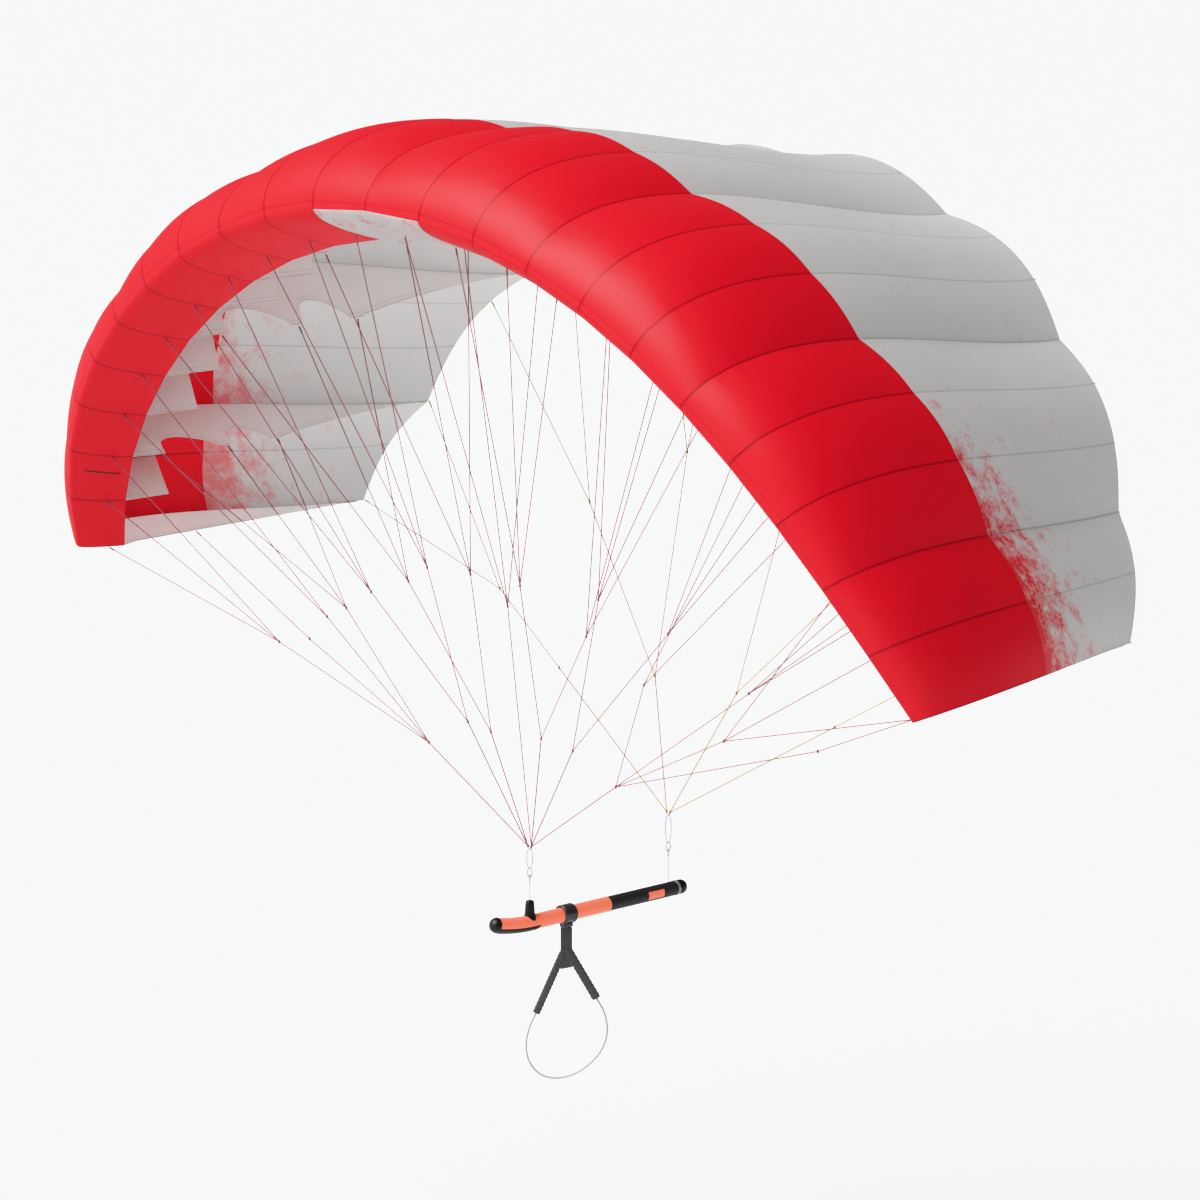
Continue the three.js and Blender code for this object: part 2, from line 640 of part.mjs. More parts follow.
const loopPath = new THREE.CatmullRomCurve3([
  inLoop(-57.2, -193.2), inLoop(-70.2, -222), inLoop(-76.2, -258), inLoop(-69.2, -290), inLoop(-50.2, -312),
  inLoop(-24.2, -320), inLoop(9.8, -314), inLoop(41.8, -294), inLoop(65.8, -265), inLoop(76.8, -230),
  inLoop(71.8, -194), inLoop(57.1, -164.6),
]);
const circle = Array.from({ length: 8 }, (_, k) => {
  const angle = (Math.PI * k) / 4;
  return new THREE.Vector2(HARNESS_LINE * Math.cos(angle), HARNESS_LINE * Math.sin(angle));
});
const harness = new THREE.ExtrudeGeometry(new THREE.Shape(circle), { steps: 52, extrudePath: loopPath });
add('harness_line', harness, material(0xb9b9bb, 0.5));

export default wing;
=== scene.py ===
"""A single-skin soft wing for wing foiling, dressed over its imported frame.

The canopy's panels and ribs are worked out again from the same sizes as the frame's solids,
fine enough for their seams, puckers and hems, and the lines, bar and harness follow them.
Metres, +Z up, X along the span, -Y the leading edge, origin on the bar's axis.
"""

import math
from functools import partial

import bpy
import numpy as np
from bpy.props import FloatProperty, FloatVectorProperty, PointerProperty
from mathutils import Euler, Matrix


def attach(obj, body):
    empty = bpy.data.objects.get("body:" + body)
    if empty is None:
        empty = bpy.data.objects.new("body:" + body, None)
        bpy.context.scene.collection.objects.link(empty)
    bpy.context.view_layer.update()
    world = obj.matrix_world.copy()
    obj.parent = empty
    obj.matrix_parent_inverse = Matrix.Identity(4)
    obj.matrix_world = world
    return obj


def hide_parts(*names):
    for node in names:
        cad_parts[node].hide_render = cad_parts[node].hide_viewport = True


bl_info = {
    "name": "Soft Foil Wing",
    "version": (1, 0, 0),
    "blender": (4, 5, 0),
    "location": "View3D > Sidebar > Soft Wing",
    "description": "Builds a single-skin soft wing with its lines, bar and harness loop",
    "category": "Add Mesh",
}

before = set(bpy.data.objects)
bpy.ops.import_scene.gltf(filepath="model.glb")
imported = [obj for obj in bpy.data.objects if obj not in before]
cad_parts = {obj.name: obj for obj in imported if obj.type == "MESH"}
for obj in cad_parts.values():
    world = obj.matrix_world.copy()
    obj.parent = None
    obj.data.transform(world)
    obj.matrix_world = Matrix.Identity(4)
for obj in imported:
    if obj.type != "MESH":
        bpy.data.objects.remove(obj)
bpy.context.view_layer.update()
BODY = "root"

# Canopy, laid out by cells: seam 0 is the middle of the span and seam 11 is a tip.
CELLS = 11
CREASES = np.array([0, 3, 6, 9, 11])
HALF_SPAN = 1.450
ARC = math.radians(68.8)
CELL_TAPER = 0.15
CENTRE_CHORD = 1.094
TIP_CHORD = 0.668
CHORD_POWER = 3
NOSE_Y = -0.489
NOSE_Z = 1.358
SWEEP_SQUARE = 0.051
SWEEP_FOURTH = 0.157
TWIST_CENTRE = 0.98
TWIST_TIP = -7.8
TOE_IN = -5.2

# Section. Heights and places are shares of the chord, NOSE_TAPE and TAUT_REACH are in q, whose
# square is such a place, and puffs, puckers and tapes are in metres.
CAMBER = 0.106
CREST = 0.238
TAIL_POWER = 1.6
BELLY = 0.197
BELLY_POWER = 1.158
BELLY_TAPER = 0.45
BAND_END = 0.135
COLOUR_CENTRE = 0.323
COLOUR_TIP = 0.173
PUFF = 0.032
PUFF_POWER = 0.6
CELL_PUFF = 0.004
PUCKER = 0.0005
PUCKER_PITCH = 0.034
PUCKER_REACH = 0.022
NOSE_TAPE = 0.030
TAPE_FAINT = 0.0015
TIP_STRIP_HALF = 0.0013
TIP_STRIP_LENGTH = 0.07
TAUT = 0.9
TAUT_REACH = 0.2
SKIN_ROWS = 44
BAND_ROWS = 22
LIFT = CAMBER / math.sqrt(CREST) / (1 - CREST) ** TAIL_POWER

# The mottled print by the colour line: it starts at a place between two seams and is full
# some cells on, and it reaches back by metres that grow on the way.
SPLASH_FIRST = 6.2
SPLASH_CELLS = 3.0
SPLASH_REACH = 0.16
SPLASH_GROWTH = 0.14
SPLASH_POWER = 1.5
SPLASH_CENTRE = 0.3
SPLASH_INSIDE = 0.6

# Cloth and ribs.
CLOTH = 0.0015
RIB_CLOTH = 0.0012
RIB_INSET = 0.0010
RIB_HEM = 0.010
SHORT_RIB_TOP = 0.33
SHORT_RIB_FOOT = 0.265
ROWS = {"a": 0.085, "b": 0.21, "c": 0.39, "d": 0.53}
LOBE = 0.055
ARCH = 0.062
TAB = 0.03
RIB_END = 0.972
RIB_START = 0.16
RIB_EASE = 0.05
RIB_LEAST = 0.003
RIB_BILLOW = 0.0016

# Lines.
LINE = 0.00095
LINE_END = 0.0015
LINE_END_LENGTH = 0.016
KNOT = 0.0030
FRONT_NODE = np.array([0, -0.101, 0.146])
REAR_NODE = np.array([0, 0.259, 0.152])
NODE_SPREAD = 0.0044

# Bar and harness.
GRIP = 0.014
BAR_FRONT = -0.1975
BAR_CAP = -0.184
BAR_SHOE = -0.084
BAR_CHANGE = 0.098
BAR_RING = 0.275
BAR_RING_END = 0.281
BEND_START = -0.100
BEND_LENGTH = 0.0975
BEND_RISE = 0.013
RING_AT = -0.008
LOOP_TURN = math.radians(46.5)
LEADER = 0.0015
STRAP_TOP = -0.026
NECK_HALF = 0.011
NECK_THICKNESS = 0.004
YOKE_TOP = -0.068
YOKE_LEFT = -0.107
YOKE_RIGHT = -0.103
YOKE_HALF = 0.0115
YOKE_THICKNESS = 0.007
LEG_THICKNESS = 0.009
HARNESS_LINE = 0.002
STRAP_RIB = 0.009
STRAP_RIDGE = 0.00035
STRAP_END = 0.0015

# The photograph's viewpoint.
VIEW_AZIMUTH = math.radians(46.5)
VIEW_ELEVATION = math.radians(10.8722)
VIEW_PLACE = (6.189, -5.794, 2.227)
VIEW_LENS = 139.71

# The studio.
FLOOR_Z = -0.95
FLOOR_RADIUS = 150
KEY_TURN = (math.radians(37), math.radians(-21), 0)
KEY_SPREAD = math.radians(50)


def linear(code):
    """The linear RGBA of an sRGB hex code: channel c becomes ((c + 0.055) / 1.055) ** 2.4."""
    channels = [int(code[i : i + 2], 16) / 255 for i in (1, 3, 5)]
    curve = [c / 12.92 if c <= 0.04045 else ((c + 0.055) / 1.055) ** 2.4 for c in channels]
    return (*curve, 1.0)


def station(u):
    """The section's frame at seam coordinate u.

    The share s of the half span falls off a little per cell. The nose lies on a circular arc
    of that half span, swept back with the square and the fourth power of s, and the chord
    shrinks with its cube. The chord's direction is turned by the twist and the toe-in.
    """
    u = np.asarray(u, float)
    share = np.abs(u) / CELLS
    s = (share - CELL_TAPER * share**2 / 2) / (1 - CELL_TAPER / 2)
    side = np.where(u < 0, -1.0, 1.0)
    turn = ARC * s
    radius = HALF_SPAN / ARC
    chord = TIP_CHORD + (CENTRE_CHORD - TIP_CHORD) * (1 - s**CHORD_POWER)
    twist = np.radians(TWIST_CENTRE + TWIST_TIP * s * s)[..., None]
    none = np.zeros_like(s)
    out = np.stack([side * np.sin(turn), none, np.cos(turn)], -1)
    span = np.stack([side * np.cos(turn), none, -np.sin(turn)], -1)
    ahead = np.array([0.0, 1.0, 0.0])
    toe = np.tan(np.radians(TOE_IN * s))[..., None]
    along = np.cos(twist) * ahead + np.sin(twist) * out + toe * span
    nose_y = NOSE_Y + SWEEP_SQUARE * s**2 + SWEEP_FOURTH * s**4
    nose_z = NOSE_Z - radius * (1 - np.cos(turn))
    nose = np.stack([side * radius * np.sin(turn), nose_y, nose_z], -1)
    return s, chord, out, span, along, nose


def height(q, s):
    """Height over the chord line as a share of the chord, at place q squared along it.

    Above, it rises with q and falls to the tail with (1 - q squared) to a power. A negative q
    is the lower side of the nose, which falls with a power of it.
    """
    above = LIFT * q * np.maximum(1 - q * q, 0) ** TAIL_POWER
    below = -BELLY * np.abs(q) ** BELLY_POWER * (1 - BELLY_TAPER * s**6)
    return np.where(q >= 0, above, below)


def puff(u, q):
    """How far the cloth stands out: a sine between two creases and a small one in each cell."""
    place = np.abs(u)
    last = np.clip(np.searchsorted(CREASES, place, side="left"), 1, len(CREASES) - 1)
    start = CREASES[last - 1]
    width = CREASES[last] - start
    q = np.maximum(q, 0)
    swell = np.sin(np.pi * (place - start) / width) * width / 3 * PUFF * q**PUFF_POWER
    return swell + CELL_PUFF * np.abs(np.sin(np.pi * place)) * np.sin(np.pi * q)


def cell_width(u):
    """Flat width of one cell at seam coordinate u."""
    return HALF_SPAN / CELLS * (1 - CELL_TAPER * np.abs(u) / CELLS) / (1 - CELL_TAPER / 2)


def pucker(u, run):
    """Small gathers across each seam: sines along the seam that die away to both sides of it."""
    seam = np.round(u)
    away = np.abs(u - seam) * cell_width(u)
    wave = np.sin(run / PUCKER_PITCH * 2 * np.pi + 2.3 * seam)
    wave = wave + 0.6 * np.sin(run / PUCKER_PITCH * 2 * np.pi * 0.618 + 4.1 * seam)
    return PUCKER * wave * np.exp(-away / PUCKER_REACH) * (1 - np.exp(-away / 0.004))


def section_point(u, q):
    """A point of one section's curve: the nose, plus the run along the chord, plus the rise."""
    s, chord, out, _, along, nose = station(u)
    rise = chord * height(q, s) + puff(u, q) + pucker(u, chord * q * q)
    return nose + along * (chord * q * q)[..., None] + out * rise[..., None]


def skin_point(u, q):
    """A point of the outer face.

    The lower side of the nose is pulled almost straight from rib to rib, so a point there is
    mostly the linear mean of the same places on its two ribs. Above the nose that fades out.
    """
    u, q = np.broadcast_arrays(np.asarray(u, float), np.asarray(q, float))
    low = np.floor(u)
    share = (u - low)[..., None]
    straight = section_point(low, q) * (1 - share) + section_point(low + 1, q) * share
    pull = TAUT * np.clip(1 - q / TAUT_REACH, 0, 1)[..., None] ** 2
    return section_point(u, q) * (1 - pull) + straight * pull


def colour_line(u):
    """The q at which the coloured front of the upper skin ends."""
    return np.sqrt(COLOUR_CENTRE + COLOUR_TIP * station(u)[0] ** 2)


def skin_normal(u, q, low, high):
    """Outward normal: the cross product of differences across and along the skin.

    They are taken inside the panel, but over its edge at the nose, so that two panels meet there.
    """
    step = 0.01
    first = np.where(np.abs(q) < step, -1, low[1])
    last = np.where(np.abs(q) < step, 1, high[1])
    left = skin_point(np.maximum(u - step, low[0]), q)
    right = skin_point(np.minimum(u + step, high[0]), q)
    before = skin_point(u, np.maximum(q - step, first))
    after = skin_point(u, np.minimum(q + step, last))
    normal = np.cross(right - left, after - before)
    return normal / np.linalg.norm(normal, axis=-1, keepdims=True)


def grid_faces(rows, columns, start=0, wrap=False):
    """Quads of a grid of points, whose last column joins the first where it wraps."""
    i = np.arange(rows - 1)[:, None]
    j = np.arange(columns if wrap else columns - 1)[None, :]
    k = (j + 1) % columns
    a = start + i * columns + j
    b = start + (i + 1) * columns + j
    c = start + (i + 1) * columns + k
    d = start + i * columns + k
    return np.stack([a, b, c, d], -1).reshape(-1, 4)


def run_along(path):
    """The distance along a path at each of its points: the sum of the steps before it."""
    return np.concatenate([[0], np.linalg.norm(np.diff(path, axis=0), axis=1).cumsum()])


def cut_uv(across, along):
    """UV rows of a grid from its two coordinates, in metres where the weave has a real size."""
    return np.stack(np.broadcast_arrays(across, along), -1).reshape(-1, 2)


def put(name, shape, finish, node=None, attributes=None, sharp=35.0):
    """A piece at the origin from (points, faces, uv), with its material and body.

    It stands in for the frame's node, where one is given. An attribute of one of a sheet's two
    grids is repeated for the other.
    """
    points, faces, uv = shape
    mesh = bpy.data.meshes.new(name)
    mesh.from_pydata(points.tolist(), [], [list(face) for face in faces])
    for label, values in (attributes or {}).items():
        kept = mesh.attributes.new(label, "FLOAT", "POINT")
        kept.data.foreach_set("value", np.resize(values, len(points)).astype(np.float32))
    corner = np.empty(len(mesh.loops), np.int32)
    mesh.loops.foreach_get("vertex_index", corner)
    layer = mesh.uv_layers.new(name="cut")
    layer.data.foreach_set("uv", np.asarray(uv, np.float32)[corner].ravel())
    mesh.shade_smooth()
    mesh.set_sharp_from_angle(angle=math.radians(sharp))
    mesh.materials.append(finish)
    mesh.update()
    made = bpy.data.objects.new(name, mesh)
    bpy.context.scene.collection.objects.link(made)
    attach(made, BODY)
    if node:
        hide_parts(node)
    return made


def closed_sheet(outer, inner, uv):
    """A closed sheet between two grids, the outer one facing out, as (points, faces, uv)."""
    rows, columns = outer.shape[:2]
    count = rows * columns
    points = np.concatenate([outer.reshape(-1, 3), inner.reshape(-1, 3)])
    front = grid_faces(rows, columns)
    back = grid_faces(rows, columns, count)[:, ::-1]
    index = np.arange(count).reshape(rows, columns)
    rim = np.concatenate([index[:, 0], index[-1, 1:], index[-2::-1, -1], index[0, -2:0:-1]])
    turn = np.roll(rim, -1)
    wall = np.stack([turn, rim, rim + count, turn + count], -1)
    return points, np.concatenate([front, back, wall]), np.tile(uv, (2, 1))


def cell_steps(start, end):
    """Seam coordinates across a panel, close together on both sides of each seam."""
    within = np.array([0, 0.012, 0.03, 0.06, 0.11, 0.18, 0.27, 0.38, 0.5])
    within = np.concatenate([within, 1 - within[-2:0:-1]])
    cells = np.arange(start, end)[:, None] + within[None, :]
    return np.concatenate([cells.ravel(), [end]])


def add_node(tree, kind, inputs=(), **settings):
    """One shader node: its properties, and what feeds its inputs, in order or by their keys."""
    made = tree.nodes.new(f"ShaderNode{kind}")
    for name, value in settings.items():
        setattr(made, name, value)
    for key, value in (inputs if isinstance(inputs, dict) else dict(enumerate(inputs))).items():
        if isinstance(value, bpy.types.NodeSocket):
            tree.links.new(value, made.inputs[key])
        else:
            made.inputs[key].default_value = value
    return made


def new_material(name):
    """An empty node material, and the function that adds a node to it."""
    made = bpy.data.materials.new(name)
    made.use_nodes = True
    made.node_tree.nodes.clear()
    return made, partial(add_node, made.node_tree)


RIPSTOP_PITCH = 0.006
RIPSTOP_THREAD = 0.0007
CLEAR = (1.0, 1.0, 1.0, 1.0)
RED_TINT = (1.0, 0.15, 0.35, 1.0)
# What a noise texture's values mostly fill.
NOISE_SPAN = (0.3, 0.7)


def sailcloth(name, base, through, tint, gloss, polish, seam_and_rim_shade_tone, seam_width, speckle=None):
    """Coated ripstop nylon sailcloth, woven and calendered.

    A satin cloth with a faint square grid of thicker threads. The threads are drawn about
    twice as coarse as real ones so that they show. Seams are darker, because the cloth is
    double there, and light comes through the single cloth, in a deeper tint for a dyed one. On a
    rib the seam mark also darkens the lower rim, which is painted shade. The calendered threads
    mirror a small even share of the light, which pales a lit red cloth.
    """
    deep = tuple(0.93 * channel for channel in base[:3]) + (1.0,)
    made, add = new_material(name)
    cut = add("UVMap", uv_map="cut")
    sides = add("SeparateXYZ", [cut.outputs[0]])
    threads = []
    for axis in (0, 1):
        away = add("Math", [sides.outputs[axis], RIPSTOP_PITCH / 2], operation="PINGPONG")
        threads.append(add("MapRange", [away.outputs[0], 0.0, RIPSTOP_THREAD, 1.0, 0.0]))
    grid = add("Math", [thread.outputs[0] for thread in threads], operation="MAXIMUM")
    # The seam attribute is the distance from a seam. On a rib it is also zero along the lower rim,
    # so there it paints shade.
    seam = add("Attribute", attribute_name="seam")
    sewn = add("MapRange", [
        seam.outputs["Fac"], seam_width * 0.1, seam_width, 1.0, 0.0,
    ], interpolation_type="SMOOTHSTEP")
    place = add("TexCoord")
    cloud = add("TexNoise", {"Vector": place.outputs["Object"], "Scale": 5.0, "Detail": 3.0})
    tone = add("MapRange", [cloud.outputs["Fac"], *NOISE_SPAN, 0.0, 0.35])
    colour = add("Mix", {0: tone.outputs[0], 6: base, 7: deep}, data_type="RGBA")
    if speckle:
        colour = splashed(add, cut, colour, speckle)
    dark = add("Mix", {
        0: sewn.outputs[0], 6: (1, 1, 1, 1), 7: (seam_and_rim_shade_tone, seam_and_rim_shade_tone, seam_and_rim_shade_tone, 1),
    }, data_type="RGBA")
    painted = add("Mix", {
        0: 1.0, 6: colour.outputs[2], 7: dark.outputs[2],
    }, data_type="RGBA", blend_type="MULTIPLY")
    fine = add("TexNoise", {"Vector": place.outputs["Object"], "Scale": 38.0, "Detail": 4.0})
    relief = add("Math", [grid.outputs[0], 0.12, fine.outputs["Fac"]], operation="MULTIPLY_ADD")
    bump = add("Bump", {"Strength": 0.15, "Distance": 0.0006, "Height": relief.outputs[0]})
    rough = add("MapRange", [fine.outputs["Fac"], *NOISE_SPAN, 0.46, 0.54])
    face = add("BsdfPrincipled", {
        "Base Color": painted.outputs[2], "Roughness": rough.outputs[0], "Normal": bump.outputs[0],
        "Specular IOR Level": gloss, "IOR": 1.5,
    })
    passed = add("Mix", {
        0: 1.0, 6: painted.outputs[2], 7: tint,
    }, data_type="RGBA", blend_type="MULTIPLY")
    glow = add("BsdfTranslucent", {"Color": passed.outputs[2], "Normal": bump.outputs[0]})
    mirror = add("BsdfAnisotropic", {"Roughness": 0.5, "Normal": bump.outputs[0]})
    front = add("MixShader", [polish, face.outputs[0], mirror.outputs[0]])
    both = add("MixShader", [through, front.outputs[0], glow.outputs[0]])
    add("OutputMaterial", [both.outputs[0]])
    return made


def splashed(add, cut, colour, ink):
    """A mottled print: noise of two sizes cut off softly at a level that the splash attribute
    sets. The strength attribute makes it fainter on the side that it shows through to."""
    amount = add("Attribute", attribute_name="splash")
    strength = add("Attribute", attribute_name="strength")
    broad = add("TexNoise", {
        "Vector": cut.outputs[0], "Scale": 24.0, "Detail": 8.0, "Roughness": 0.70,
    })
    grain = add("TexVoronoi", {"Vector": cut.outputs[0], "Scale": 150.0})
    mottle = add("Math", [
        grain.outputs["Distance"], 0.16, broad.outputs["Fac"],
    ], operation="MULTIPLY_ADD")
    level = add("Math", [
        amount.outputs["Fac"], 0.39, mottle.outputs[0],
    ], operation="MULTIPLY_ADD")
    mask = add("MapRange", [level.outputs[0], 0.72, 0.97, 0.0, 0.9])
    shown = add("Math", [mask.outputs[0], strength.outputs["Fac"]], operation="MULTIPLY")
    return add("Mix", {
        0: shown.outputs[0], 6: colour.outputs[2], 7: ink,
    }, data_type="RGBA")


def braid(name, first, second, pitch, roughness):
    """Braided line of thin fibres, whose strands show as a small check, four round the line.

    A real strand is under a millimetre wide.
    """
    made, add = new_material(name)
    cut = add("UVMap", uv_map="cut")
    scaled = add("Mapping", {"Vector": cut.outputs[0], "Scale": (4.0, 1 / pitch, 1.0)})
    check = add("TexChecker", {
        "Vector": scaled.outputs[0], "Scale": 1.0,
        "Color1": linear(first), "Color2": linear(second),
    })
    bump = add("Bump", {"Strength": 0.4, "Distance": 0.0003, "Height": check.outputs["Fac"]})
    face = add("BsdfPrincipled", {
        "Base Color": check.outputs["Color"], "Roughness": roughness, "Normal": bump.outputs[0],
    })
    add("OutputMaterial", [face.outputs[0]])
    return made


# Cells to the metre of a moulding's pebbles, on foam and on hard pieces.
COARSE = 900.0
FINE = 1600.0


def moulded(name, base, deep, roughness, grain=COARSE, depth=0.00015, metallic=0.0):
    """Moulded surface: a fine pebbled grain, with its cells counted to the metre, which softens
    the gloss, and a slightly uneven tone, as of handled foam or nylon."""
    made, add = new_material(name)
    place = add("TexCoord")
    cloud = add("TexNoise", {"Vector": place.outputs["Object"], "Scale": 60.0, "Detail": 4.0})
    pebbles = add("TexVoronoi", {"Vector": place.outputs["Object"], "Scale": grain})
    tone = add("Mix", {
        0: cloud.outputs["Fac"], 6: linear(base), 7: linear(deep),
    }, data_type="RGBA")
    bump = add("Bump", {
        "Strength": 0.5, "Distance": depth, "Height": pebbles.outputs["Distance"],
    })
    rough = add("MapRange", [
        cloud.outputs["Fac"], *NOISE_SPAN, roughness - 0.06, roughness + 0.06,
    ])
    face = add("BsdfPrincipled", {
        "Base Color": tone.outputs[2], "Roughness": rough.outputs[0], "Normal": bump.outputs[0],
        "Metallic": metallic,
    })
    add("OutputMaterial", [face.outputs[0]])
    return made


def woven_strap(name, base, deep):
    """Polyester webbing: a dull dark weave with ribs across it every millimetre and a half.

    A wave texture has 20 radians to its unit, so its scale is 2 pi / (20 * pitch).
    """
    made, add = new_material(name)
    cut = add("UVMap", uv_map="cut")
    ribs = add("TexWave", {
        "Vector": cut.outputs[0], "Scale": 210.0, "Distortion": 0.4, "Detail": 1.0,
    }, bands_direction="Y")
    tone = add("Mix", {
        0: ribs.outputs["Fac"], 6: linear(deep), 7: linear(base),
    }, data_type="RGBA")
    bump = add("Bump", {"Strength": 0.5, "Distance": 0.0004, "Height": ribs.outputs["Fac"]})
    face = add("BsdfPrincipled", {
        "Base Color": tone.outputs[2], "Roughness": 0.78, "Normal": bump.outputs[0],
        "Sheen Weight": 0.2,
    })
    add("OutputMaterial", [face.outputs[0]])
    return made


def tube(path, radius, sides=8, closed=False):
    """A round tube: a circle carried along a path, in planes square to it, with closed ends."""
    path = np.asarray(path, float)
    if closed:
        tangent = np.roll(path, -1, 0) - np.roll(path, 1, 0)
    else:
        tangent = np.gradient(path, axis=0)
    tangent /= np.linalg.norm(tangent, axis=1, keepdims=True)
    helper = [1.0, 0, 0] if abs(tangent[:, 0]).max() < 0.9 else [0.31, 0.2, 0.93]
    normal = np.cross(tangent, helper)
    normal /= np.linalg.norm(normal, axis=1, keepdims=True)
    binormal = np.cross(tangent, normal)
    angle = np.arange(sides) * 2 * np.pi / sides
    radius = np.broadcast_to(radius, len(path))[:, None, None]
    turn = angle[None, :, None]
    ring = normal[:, None] * np.cos(turn) + binormal[:, None] * np.sin(turn)
    points = (path[:, None] + ring * radius).reshape(-1, 3)
    rows = len(path)
    run = run_along(path)
    uv = cut_uv(angle[None, :] / (2 * np.pi), run[:, None])
    faces = grid_faces(rows, sides, wrap=True)[:, ::-1]
    if closed:
        first = np.arange(sides)
        last = (rows - 1) * sides + first
        join = np.stack([first, last, np.roll(last, -1), np.roll(first, -1)], -1)
        return points, faces.tolist() + join[:, ::-1].tolist(), uv
    ends = [list(range(sides)), list(range((rows - 1) * sides, rows * sides))[::-1]]
    return points, faces.tolist() + ends, uv


def gather(parts):
    """Several (points, faces, uv) as one."""
    points = []
    faces = []
    uv = []
    start = 0
    for part_points, part_faces, part_uv in parts:
        points.append(part_points)
        faces += [[start + i for i in face] for face in part_faces]
        uv.append(part_uv)
        start += len(part_points)
    return np.concatenate(points), faces, np.concatenate(uv)


def turned(profile, sides=48, centre=(0, 0, 0)):
    """A closed surface of revolution about Z: a ring at each (z, radius), a pole at each end."""
    profile = np.asarray(profile, float)
    angle = np.arange(sides) * 2 * np.pi / sides
    radius = profile[:, 1][:, None]
    ring = [radius * np.cos(angle), radius * np.sin(angle), profile[:, :1]]
    points = np.stack(np.broadcast_arrays(*ring), -1).reshape(-1, 3)
    poles = np.array([[0, 0, profile[0, 0]], [0, 0, profile[-1, 0]]])
    rows = len(profile)
    faces = grid_faces(rows, sides, wrap=True)[:, ::-1].tolist()
    pole = np.full(sides, rows * sides)
    last = (rows - 1) * sides
    k = np.arange(sides)
    n = np.roll(k, -1)
    caps = np.stack([pole, n, k, pole + 1, last + k, last + n], -1)
    faces += caps.reshape(-1, 3).tolist()
    run = run_along(profile)
    uv = cut_uv(angle[None, :] / (2 * np.pi), run[:, None])
    uv = np.concatenate([uv, [[0, 0], [0, run[-1]]]])
    return np.concatenate([points, poles]) + np.asarray(centre), faces, uv


def on_bar(points):
    """Carries points made about Z onto the bar: z is the place along it, and its front curves up.

    The axis rises with the square of the reach past the bend's start.
    """
    y = points[..., 2]
    reach = np.maximum(0, BEND_START - y) / BEND_LENGTH
    slope = -2 * BEND_RISE * reach / BEND_LENGTH
    up = points[..., 1] / np.sqrt(1 + slope**2)
    return np.stack([points[..., 0], y - up * slope, BEND_RISE * reach**2 + up], -1)


def bead(at, radius, sides=10):
    """A small knot: an egg a little longer than it is wide."""
    turn = np.linspace(0.15, np.pi - 0.15, 6)
    profile = np.stack([-np.cos(turn) * radius * 1.25, np.sin(turn) * radius * 0.8], -1)
    return turned(profile, sides, at)


def rounded(outline, radius, steps=4):
    """An outline with its corners replaced by short arcs, drawn as quadratic curves."""
    outline = np.asarray(outline, float)
    before = np.roll(outline, 1, 0) - outline
    after = np.roll(outline, -1, 0) - outline
    first = outline + before / np.linalg.norm(before, axis=1, keepdims=True) * radius
    second = outline + after / np.linalg.norm(after, axis=1, keepdims=True) * radius
    t = np.linspace(0, 1, steps)[None, :, None]
    corner = 2 * t * (1 - t) * outline[:, None]
    curve = (1 - t) ** 2 * first[:, None] + corner + t**2 * second[:, None]
    return curve.reshape(-1, 2)


def cushioned(outline, thickness, edge):
    """A flat piece from its outline in X and Z, drawn in along a quarter circle at each face."""
    outline = np.asarray(outline, float)
    middle = outline.mean(0)
    turn = np.linspace(-np.pi / 2, np.pi / 2, 7)[:, None]
    away = outline - middle
    size = np.linalg.norm(away, axis=1, keepdims=True)
    inset = edge * (1 - np.cos(turn))
    flat = middle + away * (1 - inset[..., None] / size)
    depth = np.sign(turn) * (thickness / 2 - edge) + edge * np.sin(turn)
    grid = np.broadcast_arrays(flat[..., 0], depth, flat[..., 1])
    points = np.stack(grid, -1).reshape(-1, 3)
    count = len(outline)
    faces = grid_faces(len(turn), count, wrap=True).tolist()
    faces.append(list(range(count))[::-1])
    faces.append(list(range((len(turn) - 1) * count, len(turn) * count)))
    x, z = outline.T
    if np.sum(x * np.roll(z, -1) - np.roll(x, -1) * z) > 0:
        faces = [face[::-1] for face in faces]
    return points, faces, points[:, [0, 2]]


def swivelled(points):
    """Turns points about the vertical by the harness loop's swivel."""
    c, s = math.cos(LOOP_TURN), math.sin(LOOP_TURN)
    return points @ np.array([[c, s, 0], [-s, c, 0], [0, 0, 1]])


def hung(points):
    """Turns points made in the loop's own plane, and hangs them under the sliding ring."""
    return swivelled(points) + np.array([0, RING_AT, 0])


